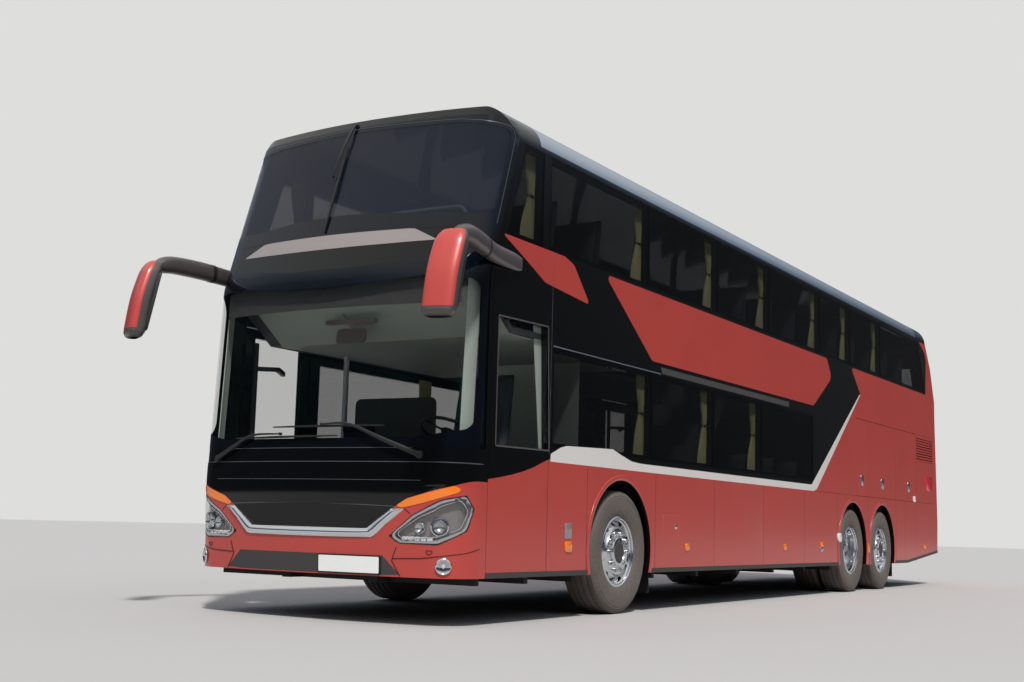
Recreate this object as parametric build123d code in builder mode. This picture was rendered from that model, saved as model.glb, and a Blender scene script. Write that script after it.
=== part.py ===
from build123d import *
from math import asin, atan2, cos, degrees, hypot, pi, radians, sin
import os

# Double-deck three-axle touring coach, in millimetres.
# +X is forward, +Y the driver's left, +Z up; the origin is on the ground at the middle of the overall box.

# Overall body
LENGTH = 14000
WIDTH = 2550
HEIGHT = 4000
MIRROR_REACH = 540
FRONT_OVERHANG = 2746
WHEELBASE = 6700
TAG_SPACING = 1350

# Heights of the body's main lines
SKIRT_Z = 345
BELT_Z = 1235
WINDSCREEN_Z = 1276
BROW_Z = 2611
BROW_RISE = 144
UPPER_PANE_Z = 2925
UPPER_PANE_TOP = 3893
UPPER_PANE_DROP = 58
ROOF_CAP_Z = 3925
FLAP_TOP_Z = 2255
EAVES_Z = 3700
TAIL_LIFT = 150
TAIL_LIFT_START = 12045

# Thicknesses and gaps
WALL = 60
GLASS = 10
LEAF = 45
FLANGE = 40
GAP = 6
RUNNING = 0.1

# Rounding of the body in plan and in cross-section
FRONT_ARC_R = 5260
FRONT_CORNER_R = 310
REAR_CORNER_R = 170
EAVES_R = 260
CORNER_SEAM = 518
PILLAR = 42

# Decks, frame and engine
FLOOR_THICK = 50
LOWER_FLOOR_TOP = 400
UPPER_FLOOR_TOP = 2250
BOOT_FLOOR_TOP = 1225
BULKHEAD = 40
BOOT_FRONT = 8760
BOOT_REAR = 12600
PLATFORM_TOP = 780
PLATFORM_REAR = 2000
STAIR_WIDTH = 620
STAIR_STEPS = 8
STAIR_TREAD = 235
RAIL_Y = 420
RAIL_WIDTH = 80
RAIL_HEIGHT = 60
REAR_RAIL_Z = 625
REAR_RAIL_HEIGHT = 110
CROSS_WIDTH = 60
ENGINE_SIZE = (1120, 900, 700)
ENGINE_FRONT = 12660
FRAME_FRONT = 320
FRAME_REAR = 8880
FRAME_TAIL = 160
PLATFORM_Y = 150
TOE_START = 900
TOE_RISE = 640
GUARD_NEAR = 90
GUARD_FAR = 930
GUARD_BACK = 640
GUARD_FOOT = 2410
GUARD_TOP = 3170
GUARD_BEND = 90
GUARD_R = 18

# Places along the coach of the frame's cross members, behind the foremost point
CROSS_MEMBERS = (500, 1200, 1960, 2420, 3060, 3480, 4500, 5560, 6620, 7680, 8640)
REAR_MEMBERS = (9900, 10300, 12200, 13600)

# Wheels and axles
TYRE_RADIUS = 530
TYRE_WIDTH = 312
TYRE_INSET = 25
TREAD_FLATS = 48
SHOULDER = 32
BEAD_R = 286
BARREL_WALL = 24
RIM_HALF_WIDTH = 128
RIM_DISC = 38
HUB_R = 118
NUT_RING_R = 196
DISC_FOOT = 52
HAND_HOLES = 10
HAND_HOLE_AT = 232
HAND_HOLE_R = 19
HUB_REACH = 14
DEEP_DISC = 124
DEEP_HUB_REACH = 60
STUB_R = 42
STUB_SEAT = 34
TWIN_SPACING = 350
KINGPIN_INSET = 80
KINGPIN_R = 24
EYE_R = 45
EYE_HALF = 80
LUG_THICK = 34
LUG_GAP = 6
UPRIGHT_NEAR = 56
UPRIGHT_THICK = 34
UPRIGHT_HALF = 60
BEAM_R = 85
ARM_HALF_X = 70
ARM_HALF_Z = 50

# Wheel arches and the boxes over the wheels
ARCH_R = 595
ARCH_SHIFT = 40
ARCH_Z = 549
HOUSE_WALL = 18
MUDFLAP_LOW = 160
MUDFLAP_THICK = 12

os.makedirs("parts", exist_ok=True)

SIDE_Y = WIDTH / 2
FRONT_X = (LENGTH + MIRROR_REACH) / 2 - MIRROR_REACH
REAR_X = FRONT_X - LENGTH
FRONT_AXLE_X = FRONT_X - FRONT_OVERHANG
DRIVE_AXLE_X = FRONT_AXLE_X - WHEELBASE
TAG_AXLE_X = DRIVE_AXLE_X - TAG_SPACING
INNER_Y = SIDE_Y - WALL
WHEEL_Y = SIDE_Y - TYRE_INSET - TYRE_WIDTH / 2
KINGPIN_Y = WHEEL_Y - KINGPIN_INSET
REACH = 2 * LENGTH

# Axles: columns are name, place along the coach, radius inside the wheel box, its inner wall's distance
# from the centre line, height of the mudflap's upper edge (0 without one).
AXLES = [
    ("front", FRONT_AXLE_X, 645, 480, LOWER_FLOOR_TOP - FLOOR_THICK),
    ("drive", DRIVE_AXLE_X, 605, 545, 0),
    ("tag", TAG_AXLE_X, 625, 545, TYRE_RADIUS),
]

# The body's form at each height: columns are height, distance of the front's centre behind the foremost
# point, and distance of the rear face ahead of the rearmost point.
FORM_LEVELS = [
    (SKIRT_Z, 36, 40),
    (980, 0, 0),
    (2560, 76, 94),
    (2640, 92, 94),
    (2842, 158, 94),
    (3346, 322, 327),
    (3869, 489, 757),
    (3950, 545, 850),
    (HEIGHT, 680, 1000),
]

# Upper side panes: columns are the pane's front and rear edge behind the foremost point.
UPPER_PANES = [
    (680, 1235),
    (1335, 3194),
    (3200, 4846),
    (4852, 6345),
    (6351, 8110),
    (8116, 9340),
    (9346, 10740),
    (10746, 13190),
]
UPPER_GLASS = (2925, 3694)
UPPER_REAR_SLANT = 420

# Lower side panes, with the same columns.
LOWER_PANES = [
    (1440, 3300),
    (3306, 4760),
    (4766, 6110),
    (6116, 7820),
]
LOWER_GLASS = (1350, 2150)
DRIVER_GLASS = [(578, 2319), (1387, 2335), (1437, 1294), (578, 1284)]

# Side flaps of the boot and service bays, with the same columns.
FLAPS = [
    (9561, 10102),
    (10102, 11441),
    (11441, 12538),
]

# Bright strip along each eaves: front edge, rear edge, low and high edge.
TRIM = (1180, 12680, 3738, 3925)

# Slatted vent beside the engine: front edge, rear edge, low and high edge.
VENT = (12608, 13570, 1860, 2205)
VENT_SLATS = 6

# Doors on the right side: columns are name, front edge and rear edge.
DOORS = [
    ("front", 590, 1450),
    ("rear", 7120, 7980),
]
DOOR_TOP = 2335
DOOR_GLASS = (620, 2250)
DOOR_MARGIN = 130

# A door's swinging post: its place behind the door's front edge and in from the side, the turn it makes,
# and how far the open leaf stands off the side.
POST_BACK = 60
POST_IN = 125
POST_R = 22
ARM_REACH = 425
ARM_SIZE = 36
ARM_HEIGHTS = (760, 1960)
LEAF_STAND_OFF = 130

# Front lights, grille and bumper: outlines across the front, as distance from the centre line and height.
BUMPER_TOP = [(547, 652), (752, 826), (866, 904), (1196, 1000), (1268, 1036), (SIDE_Y + WALL, 1063)]
CHROME_BAR = [(547, 683), (752, 831), (853, 830), (582, 621)]
BUMPER_GRILLE = [(679, 493), (820, 360), (660, 352)]
HEADLAMP = [
    (727, 632),
    (813, 586),
    (1105, 578),
    (1251, 680),
    (1271, 839),
    (1251, 935),
    (1125, 900),
    (913, 787),
]

# Rear openings: distance from the centre line, low and high edge.
REAR_WINDOW = (980, 2760, 3420)
ENGINE_LID = (860, 760, 1820)
TAIL_LAMP = (1085, 1235, 930, 1690)

# Stairs between the decks: columns are side, foot behind the front, direction of climb (1 is rearwards).
STAIRS = [
    (1, 3450, 1),
    (-1, 7050, -1),
]
STAIR_NOSING = 40
STAIR_DEPTH = 160
STAIR_SIDE_GAP = 60

# Double seats: columns are floor height, side, first row behind the front, number of rows.
SEAT_ROWS = [
    (UPPER_FLOOR_TOP, 1, 1700, 2),
    (UPPER_FLOOR_TOP, 1, 6000, 9),
    (UPPER_FLOOR_TOP, -1, 1700, 4),
    (UPPER_FLOOR_TOP, -1, 7900, 6),
    (LOWER_FLOOR_TOP, 1, 6050, 4),
    (LOWER_FLOOR_TOP, -1, 4300, 2),
]
SEAT_PITCH = 800
SEAT_WIDTH = 920
SEAT_SIDE_GAP = 70
DRIVER_SEAT = (1520, 650, 520)
# A seat's side outline: distance ahead of its pitch line and height over its floor.
SEAT_OUTLINE = [
    (0, 1150),
    (110, 1160),
    (240, 470),
    (640, 500),
    (640, 400),
    (520, 330),
    (520, 0),
    (220, 0),
    (180, 330),
    (90, 380),
]

# Driver's place: dashboard outline behind the front and over the ground, steering column and wheel.
DASH_OUTLINE = [(700, 960), (650, 1220), (560, 1262), (0, 1240), (0, 960)]
DASH_RIGHT = -820
COLUMN_TOP = (900, 650, 1430)
COLUMN_TILT = 27
COLUMN_GAP = 8
COLUMN_R = 34
COLUMN_LENGTH = 430
STEERING_R = 230
STEERING_RIM = 28
STEERING_HUB = 62
STEERING_FLATS = 28
STEERING_SPOKE_TURN = 90

# Curtains at the pane joints
CURTAIN_HALF = 75
CURTAIN_THICK = 30
CURTAIN_DROP = 40

# Wipers: columns are pivot and tip, each as distance from the centre line and height.
WIPERS = [
    (-940, 1190, 283, 1350),
    (985, 1212, -341, 1426),
    (-63, 2948, -20, 3800),
]
WIPER_WIDTH = 22
WIPER_THICK = 14

# Mirrors: the arm's sections (distance behind the front, near and far edge from the centre line, low and
# high edge), the head's (height, distance behind the front, distance from the centre line, depth, width),
# and how far each head is turned out from square to the coach.
MIRROR_ARM = [
    (890, 1275, 1302, 2672, 2778),
    (760, 1275, 1325, 2655, 2792),
    (430, 1283, 1372, 2655, 2800),
    (180, 1315, 1430, 2672, 2822),
    (-60, 1360, 1490, 2680, 2826),
    (-180, 1378, 1508, 2670, 2808),
    (-270, 1392, 1502, 2660, 2770),
]
MIRROR_HEAD = [
    (2106, -442, 1447, 80, 160),
    (2135, -440, 1447, 124, 214),
    (2180, -432, 1447, 146, 238),
    (2430, -387, 1447, 148, 240),
    (2620, -325, 1447, 148, 238),
    (2700, -290, 1447, 140, 215),
    (2752, -262, 1447, 100, 160),
]
MIRROR_TURNS = ((1, 16), (-1, 29))
MIRROR_ROUND = 12
MIRROR_HEAD_ROUND = 38


def behind(distance):
    """Place along the coach, measured behind the foremost point of the body."""
    return FRONT_X - distance


def rake(z, column):
    """How far a face has moved in at a height, read between two of the form's levels."""
    for low, high in zip(FORM_LEVELS, FORM_LEVELS[1:]):
        if z <= high[0]:
            return low[column] + (high[column] - low[column]) * (z - low[0]) / (high[0] - low[0])
    return FORM_LEVELS[-1][column]


def seam_x(z):
    """The seam between the front's corner and the side wall, which leans back with the upper front."""
    return behind(CORNER_SEAM + max(0, rake(z, 1) - rake(2560, 1)))


def tail_x(z):
    """The seam between the side wall and the rear corner, which leans forward with the upper rear."""
    return REAR_X + REAR_CORNER_R + WALL + max(rake(z, 2), rake(2560, 2))


def tail_z(x):
    """Height of the body's lower edge, which rises towards the tail."""
    return SKIRT_Z + TAIL_LIFT * max(0, behind(TAIL_LIFT_START) - x) / (LENGTH - TAIL_LIFT_START)


def face(*points, mode=Mode.ADD):
    """Adds or cuts one straight-sided outline in the sketch being drawn."""
    with BuildLine() as outline:
        Polyline(*points, close=True)
    make_face(outline.edges(), mode=mode)


def upright(front, rear, z_low, z_high):
    """Corners of an upright panel in side view, from its edges behind the front."""
    return [(behind(rear), z_low), (behind(front), z_low), (behind(front), z_high), (behind(rear), z_high)]


def drawn_in(points, margin):
    """A four-cornered outline drawn in by a margin."""
    mid_x = sum(x for x, _ in points) / len(points)
    mid_z = sum(z for _, z in points) / len(points)
    return [
        (x - margin if x > mid_x else x + margin, z - margin if z > mid_z else z + margin)
        for x, z in points
    ]


def both_sides(points):
    """A closed outline from its left half, mirrored about the centre line."""
    return points + [(-y, z) for y, z in reversed(points)]


def side_plane(side, depth=0):
    """The plane of one side of the body, or one a depth inside it."""
    return Plane.XZ.offset(-side * (SIDE_Y - depth))


def block(x_low, x_high, y_low, y_high, z_low, z_high, mode=Mode.ADD):
    """Adds or cuts a plain block between two corners."""
    with BuildSketch(Plane.XY.offset(z_low)) as plan:
        with Locations(((x_low + x_high) / 2, (y_low + y_high) / 2)):
            Rectangle(x_high - x_low, y_high - y_low)
    extrude(plan.sketch, amount=z_high - z_low, mode=mode)


def cross_bar(x, z, radius, y_low, y_high, mode=Mode.ADD):
    """Adds or cuts a round bar lying across the coach."""
    with BuildSketch(Plane.XZ.offset(-y_high)) as section:
        with Locations((x, z)):
            Circle(radius)
    extrude(section.sketch, amount=y_high - y_low, mode=mode)


def post(x, y, radius, z_low, z_high, mode=Mode.ADD):
    """Adds or cuts an upright round bar."""
    with BuildSketch(Plane.XY.offset(z_low)) as section:
        with Locations((x, y)):
            Circle(radius)
    extrude(section.sketch, amount=z_high - z_low, mode=mode)


def write(name, piece):
    """Labels a piece with its node's name and writes its STEP file."""
    piece.part.label = name
    export_step(piece.part, f"parts/{name}.step")


def coach_form(inset, drop):
    """The coach's closed form drawn in by one thickness, its underside lowered by drop."""
    corner_y = SIDE_Y - FRONT_CORNER_R
    turn = asin(corner_y / (FRONT_ARC_R - FRONT_CORNER_R))
    angle = degrees(turn)
    corner_back = FRONT_ARC_R - (FRONT_ARC_R - FRONT_CORNER_R) * cos(turn)
    rear_y = SIDE_Y - REAR_CORNER_R
    low = SKIRT_Z - drop
    with BuildPart() as form:
        for z, front_back, rear_ahead in [(low - 1, *FORM_LEVELS[0][1:])] + FORM_LEVELS[1:]:
            front = FRONT_X - front_back
            rear = REAR_X + rear_ahead
            corner_x = front - corner_back
            rear_x = rear + REAR_CORNER_R
            with BuildSketch(Plane.XY.offset(z)):
                with BuildLine():
                    CenterArc((front - FRONT_ARC_R, 0), FRONT_ARC_R - inset, -angle, 2 * angle)
                    CenterArc((corner_x, corner_y), FRONT_CORNER_R - inset, angle, 90 - angle)
                    Line((corner_x, SIDE_Y - inset), (rear_x, SIDE_Y - inset))
                    CenterArc((rear_x, rear_y), REAR_CORNER_R - inset, 90, 90)
                    Line((rear + inset, rear_y), (rear + inset, -rear_y))
                    CenterArc((rear_x, -rear_y), REAR_CORNER_R - inset, 180, 90)
                    Line((rear_x, inset - SIDE_Y), (corner_x, inset - SIDE_Y))
                    CenterArc((corner_x, -corner_y), FRONT_CORNER_R - inset, -90, 90 - angle)
                make_face()
        loft(ruled=True)
        # The cross-section: upright sides, rounded eaves and a gently crowned roof.
        eaves_y = SIDE_Y - EAVES_R
        rise = HEIGHT - EAVES_Z
        crown_r = (eaves_y**2 + rise**2 - EAVES_R**2) / (2 * (rise - EAVES_R))
        crown_turn = degrees(asin(eaves_y / (crown_r - EAVES_R)))
        with BuildSketch(Plane.YZ):
            with BuildLine():
                CenterArc((0, HEIGHT - crown_r), crown_r - inset, 90 - crown_turn, 2 * crown_turn)
                CenterArc((eaves_y, EAVES_Z), EAVES_R - inset, 0, 90 - crown_turn)
                Line((SIDE_Y - inset, EAVES_Z), (SIDE_Y - inset, low))
                Line((SIDE_Y - inset, low), (inset - SIDE_Y, low))
                Line((inset - SIDE_Y, low), (inset - SIDE_Y, EAVES_Z))
                CenterArc((-eaves_y, EAVES_Z), EAVES_R - inset, 90 + crown_turn, 90 - crown_turn)
            make_face()
        extrude(amount=REACH, both=True, mode=Mode.INTERSECT)
        # The underside rises towards the tail.
        with BuildSketch(Plane.XZ):
            face(
                (behind(TAIL_LIFT_START), low),
                (REAR_X - WALL, tail_z(REAR_X - WALL) - drop),
                (REAR_X - WALL, low - WALL),
                (behind(TAIL_LIFT_START), low - WALL),
            )
        extrude(amount=REACH, both=True, mode=Mode.SUBTRACT)
    return form.part


outer_form = coach_form(0, 0)
glass_form = coach_form(GLASS, WALL)
inner_form = coach_form(WALL, WALL)

with BuildPart() as shell:
    add(outer_form)
    add(inner_form, mode=Mode.SUBTRACT)

with BuildPart() as skin:
    add(outer_form)
    add(glass_form, mode=Mode.SUBTRACT)


def side_panes(side):
    """Outlines of every pane on one side, the lower ones stopping short of the doors."""
    low, high = UPPER_GLASS
    panes = [upright(front, rear, *UPPER_GLASS) for front, rear in UPPER_PANES]
    lean = rake(high, 1) - rake(low, 1)
    panes[0][2] = (panes[0][2][0] - lean, high)
    panes[-1][3] = (panes[-1][3][0] + UPPER_REAR_SLANT, high)
    if side > 0:
        panes += [upright(front, rear, *LOWER_GLASS) for front, rear in LOWER_PANES]
        panes.append([(behind(x), z) for x, z in DRIVER_GLASS])
        return panes
    front_door, rear_door = DOORS
    for front, rear in LOWER_PANES:
        front = max(front, front_door[2] + 2 * PILLAR)
        rear = min(rear, rear_door[1] - 2 * PILLAR)
        panes.append(upright(front, rear, *LOWER_GLASS))
    return panes


def side_wall(side):
    """One side of the body: a flat wall with its arches, windows, flap bays and doorways cut."""
    with BuildPart() as wall:
        with BuildSketch(side_plane(side)):
            face(
                (seam_x(SKIRT_Z), SKIRT_Z),
                (seam_x(2560), 2560),
                (seam_x(EAVES_Z), EAVES_Z),
                (tail_x(EAVES_Z), EAVES_Z),
                (tail_x(3346), 3346),
                (tail_x(2842), 2842),
                (tail_x(980), tail_z(tail_x(980))),
                (behind(TAIL_LIFT_START), SKIRT_Z),
            )
            with Locations(*[(axle_x + ARCH_SHIFT, ARCH_Z) for _, axle_x, _, _, _ in AXLES]):
                Circle(ARCH_R, mode=Mode.SUBTRACT)
            for pane in side_panes(side):
                face(*drawn_in(pane, FLANGE), mode=Mode.SUBTRACT)
            for front, rear in FLAPS:
                face(*drawn_in(upright(front, rear, BELT_Z, FLAP_TOP_Z), FLANGE), mode=Mode.SUBTRACT)
            if side < 0:
                for _, front, rear in DOORS:
                    face(*upright(front, rear, SKIRT_Z - WALL, DOOR_TOP), mode=Mode.SUBTRACT)
            face(*upright(*VENT), mode=Mode.SUBTRACT)
        extrude(amount=side * WALL)
        with BuildSketch(side_plane(side)):
            for pane in side_panes(side):
                face(*pane)
        extrude(amount=side * GLASS, mode=Mode.SUBTRACT)
        with BuildSketch(side_plane(side)):
            for front, rear in FLAPS:
                face(*upright(front, rear, BELT_Z, FLAP_TOP_Z))
        extrude(amount=side * (LEAF + GAP), mode=Mode.SUBTRACT)
        front, rear, low, high = VENT
        pitch = (high - low) / VENT_SLATS
        with BuildSketch(side_plane(side, GLASS)):
            for index in range(VENT_SLATS):
                slat_z = low + (index + 0.5) * pitch
                face(*upright(front, rear, slat_z - pitch / 4, slat_z + pitch / 4))
        extrude(amount=side * GLASS)
    return wall


def swing_points(front):
    """A door's post, bent arm and leaf pin in plan when it is shut, on the right side."""
    post_x = behind(front + POST_BACK)
    post_y = -SIDE_Y + POST_IN
    pin_y = LEAF - SIDE_Y
    shut_turn = pi + asin((post_y - pin_y) / ARM_REACH)
    pin = (post_x + ARM_REACH * cos(shut_turn), post_y + ARM_REACH * sin(shut_turn))
    open_turn = 2 * pi - asin((post_y - pin_y + LEAF_STAND_OFF) / ARM_REACH)
    # The bend clears the doorway's edge when the arm is fully open.
    bend_out = POST_IN + WALL
    bend_turn = -pi / 2 - (open_turn - shut_turn)
    bend = (post_x + bend_out * cos(bend_turn), post_y + bend_out * sin(bend_turn))
    return (post_x, post_y), bend, pin, degrees(open_turn - shut_turn)


def bar_in_sketch(start, end, size):
    """Adds a straight bar with rounded ends to the sketch being drawn."""
    run = hypot(end[0] - start[0], end[1] - start[1])
    turn = degrees(atan2(end[1] - start[1], end[0] - start[0]))
    with Locations(((start[0] + end[0]) / 2, (start[1] + end[1]) / 2)):
        SlotCenterToCenter(run, size, rotation=turn)


# Side walls and their glass
for side, hand in ((1, "left"), (-1, "right")):
    write(f"side_wall_{hand}", side_wall(side))
    with BuildPart() as side_glass:
        with BuildSketch(side_plane(side)):
            for pane in side_panes(side):
                face(*pane)
        extrude(amount=side * GLASS)
    write(f"side_glass_{hand}", side_glass)

# Side flaps, hinged along their upper outer edge
for side, hand in ((1, "left"), (-1, "right")):
    for number, (front, rear) in enumerate(FLAPS, start=1):
        with BuildPart() as flap:
            with BuildSketch(side_plane(side)):
                face(*upright(front + GAP / 2, rear - GAP / 2, BELT_Z + GAP, FLAP_TOP_Z - GAP))
            extrude(amount=side * LEAF)
        write(f"flap_{hand}_{number}", flap)

# Doors of the right side: a glazed leaf on an upright post with two bent arms
for name, front, rear in DOORS:
    post_at, bend_at, pin_at, _ = swing_points(front)
    with BuildPart() as door:
        with BuildSketch(side_plane(-1)):
            face(*upright(front + GAP, rear - GAP, SKIRT_Z, DOOR_TOP - GAP))
            face(*upright(front + DOOR_MARGIN, rear - DOOR_MARGIN, *DOOR_GLASS), mode=Mode.SUBTRACT)
        extrude(amount=-LEAF)
        with BuildSketch(side_plane(-1)):
            face(*drawn_in(upright(front + DOOR_MARGIN, rear - DOOR_MARGIN, *DOOR_GLASS), -FLANGE))
        extrude(amount=-GLASS, mode=Mode.SUBTRACT)
    write(f"door_{name}", door)
    with BuildPart() as door_glass:
        with BuildSketch(side_plane(-1)):
            face(*drawn_in(upright(front + DOOR_MARGIN, rear - DOOR_MARGIN, *DOOR_GLASS), -FLANGE))
        extrude(amount=-GLASS)
    write(f"door_glass_{name}", door_glass)
    with BuildPart() as door_arm:
        post(*post_at, POST_R, LOWER_FLOOR_TOP + GAP, UPPER_FLOOR_TOP - FLOOR_THICK - GAP)
        for height in ARM_HEIGHTS:
            with BuildSketch(Plane.XY.offset(height)):
                bar_in_sketch(post_at, bend_at, ARM_SIZE)
                bar_in_sketch(bend_at, (pin_at[0], pin_at[1] + ARM_SIZE / 2 + GAP), ARM_SIZE)
            extrude(amount=ARM_SIZE)
    write(f"door_arm_{name}", door_arm)


def windscreen_opening(margin):
    """The space of both windscreens ahead of the pillars, drawn in by a margin."""
    edge_y = SIDE_Y + WALL
    top_z = ROOF_CAP_Z + WALL
    with BuildPart() as opening:
        with BuildSketch(Plane.XZ):
            inset = PILLAR + margin
            face(
                (seam_x(WINDSCREEN_Z) + inset, SKIRT_Z),
                (seam_x(2560) + inset, 2560),
                (seam_x(EAVES_Z) + inset, EAVES_Z),
                (seam_x(EAVES_Z) + inset, top_z),
                (FRONT_X + WALL, top_z),
                (FRONT_X + WALL, SKIRT_Z),
            )
        extrude(amount=REACH, both=True)
        with BuildSketch(Plane.YZ.offset(FRONT_X - LENGTH / 4)):
            for low, mid, ends in (
                (WINDSCREEN_Z + margin, BROW_Z - margin, BROW_Z + BROW_RISE - margin),
                (UPPER_PANE_Z + margin, UPPER_PANE_TOP - margin, UPPER_PANE_TOP - UPPER_PANE_DROP - margin),
            ):
                with BuildLine():
                    ThreePointArc((-edge_y, ends), (0, mid), (edge_y, ends))
                    Polyline((edge_y, ends), (edge_y, low), (-edge_y, low), (-edge_y, ends))
                make_face()
        extrude(amount=LENGTH, mode=Mode.INTERSECT)
    return opening


def end_piece(cover, seam, outlines, cuts=()):
    """The part of a cover beyond a seam in side view and within outlines in end view, less other pieces."""
    with BuildPart() as piece:
        add(cover.part)
        with BuildSketch(Plane.XZ):
            face(*seam)
        extrude(amount=REACH, both=True, mode=Mode.INTERSECT)
        with BuildSketch(Plane.YZ):
            for outline in outlines:
                face(*outline)
        extrude(amount=REACH, both=True, mode=Mode.INTERSECT)
        for cut in cuts:
            add(cut.part, mode=Mode.SUBTRACT)
    return piece


def across(half_width, z_low, z_high, margin=0):
    """An outline symmetric about the centre line, drawn in by a margin."""
    y = half_width - margin
    return [(y, z_low + margin), (y, z_high - margin), (-y, z_high - margin), (-y, z_low + margin)]


edge_y = SIDE_Y + WALL
nose_seam = [
    (seam_x(SKIRT_Z), SKIRT_Z - WALL),
    (seam_x(2560), 2560),
    (seam_x(EAVES_Z), EAVES_Z),
    (seam_x(EAVES_Z), ROOF_CAP_Z),
    (FRONT_X + WALL, ROOF_CAP_Z),
    (FRONT_X + WALL, SKIRT_Z - WALL),
]
tail_seam = [
    (tail_x(980), SKIRT_Z - WALL),
    (tail_x(2842), 2842),
    (tail_x(3346), 3346),
    (tail_x(EAVES_Z), EAVES_Z),
    (REAR_X - WALL, EAVES_Z),
    (REAR_X - WALL, SKIRT_Z - WALL),
]

# Windscreens: the lower one under the arched brow, the upper one above it
window_space = windscreen_opening(0)
view_space = windscreen_opening(FLANGE)
with BuildPart() as windscreens:
    add(skin.part)
    add(window_space.part, mode=Mode.INTERSECT)
write("windscreens", windscreens)

# Chrome bar, a shallow dish that rises to the headlamps
chrome_bar = end_piece(skin, nose_seam, [both_sides(CHROME_BAR)])
write("chrome_bar", chrome_bar)

# Front mask: one black frame round both windscreens, down to the bumper
mask_outline = both_sides([(edge_y, ROOF_CAP_Z + WALL)] + BUMPER_TOP[::-1])
front_mask = end_piece(shell, nose_seam, [mask_outline], cuts=(windscreens, view_space, chrome_bar))
write("front_mask", front_mask)

# Headlamps, the bumper's grey grille, and the bumper with its painted corners
headlamps = end_piece(shell, nose_seam, [HEADLAMP, [(-y, z) for y, z in HEADLAMP]])
write("headlamps", headlamps)
bumper_grille = end_piece(skin, nose_seam, [both_sides(BUMPER_GRILLE)])
write("bumper_grille", bumper_grille)
bumper_outline = both_sides(BUMPER_TOP + [(edge_y, SKIRT_Z - WALL)])
front_bumper = end_piece(shell, nose_seam, [bumper_outline], cuts=(headlamps, bumper_grille, chrome_bar))
write("front_bumper", front_bumper)

# Roof trim: a bright strip along each rounded eaves
with BuildPart() as roof_trim:
    add(skin.part)
    with BuildSketch(Plane.XZ):
        face(*upright(*TRIM))
    extrude(amount=REACH, both=True, mode=Mode.INTERSECT)
write("roof_trim", roof_trim)

# Roof, from eaves to eaves
with BuildPart() as roof:
    add(shell.part)
    with BuildSketch(Plane.XZ):
        face(
            (REAR_X - WALL, EAVES_Z),
            (seam_x(EAVES_Z), EAVES_Z),
            (seam_x(EAVES_Z), ROOF_CAP_Z),
            (FRONT_X, ROOF_CAP_Z),
            (FRONT_X, HEIGHT + WALL),
            (REAR_X - WALL, HEIGHT + WALL),
        )
    extrude(amount=REACH, both=True, mode=Mode.INTERSECT)
    add(roof_trim.part, mode=Mode.SUBTRACT)
write("roof", roof)

# Rear wall with its window, engine lid and upright tail lamps
rear_window = end_piece(skin, tail_seam, [across(*REAR_WINDOW)])
write("rear_window", rear_window)
lamp_near, lamp_far, lamp_low, lamp_high = TAIL_LAMP
tail_lamp = [(lamp_near, lamp_low), (lamp_far, lamp_low), (lamp_far, lamp_high), (lamp_near, lamp_high)]
tail_lamps = end_piece(shell, tail_seam, [tail_lamp, [(-y, z) for y, z in tail_lamp]])
write("tail_lamps", tail_lamps)
engine_lid = end_piece(shell, tail_seam, [across(*ENGINE_LID, margin=GAP)])
write("engine_lid", engine_lid)
lid_space = end_piece(shell, tail_seam, [across(*REAR_WINDOW, margin=FLANGE), across(*ENGINE_LID)])
wall_outline = across(edge_y, SKIRT_Z - WALL, EAVES_Z)
rear_wall = end_piece(shell, tail_seam, [wall_outline], cuts=(rear_window, tail_lamps, lid_space))
write("rear_wall", rear_wall)

# Boxes over the wheels, with a mudflap behind the front and the rearmost wheels
with BuildPart() as wheel_boxes:
    for _, axle_x, radius, inner_y, mudflap_top in AXLES:
        outer_r = radius + HOUSE_WALL
        for side in (1, -1):
            with BuildSketch(side_plane(side, WALL)):
                with Locations((axle_x, TYRE_RADIUS)):
                    Circle(outer_r)
                    Circle(radius, mode=Mode.SUBTRACT)
                with Locations((axle_x, LOWER_FLOOR_TOP - FLOOR_THICK - outer_r)):
                    Rectangle(2 * outer_r, 2 * outer_r, mode=Mode.SUBTRACT)
            extrude(amount=side * (INNER_Y - inner_y))
            with BuildSketch(Plane.XZ.offset(-side * inner_y)):
                with Locations((axle_x, TYRE_RADIUS)):
                    Circle(outer_r)
                with Locations((axle_x, LOWER_FLOOR_TOP - FLOOR_THICK - outer_r)):
                    Rectangle(2 * outer_r, 2 * outer_r, mode=Mode.SUBTRACT)
            extrude(amount=side * HOUSE_WALL)
            if mudflap_top:
                flap_x = axle_x - radius
                near, far = sorted((side * (KINGPIN_Y - EYE_HALF), side * INNER_Y))
                block(flap_x - MUDFLAP_THICK, flap_x, near, far, MUDFLAP_LOW, mudflap_top)
    for _, axle_x, _, inner_y, _ in AXLES[1:]:
        cross_bar(axle_x, TYRE_RADIUS, BEAM_R, -inner_y, inner_y, mode=Mode.SUBTRACT)
write("wheel_boxes", wheel_boxes)

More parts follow.
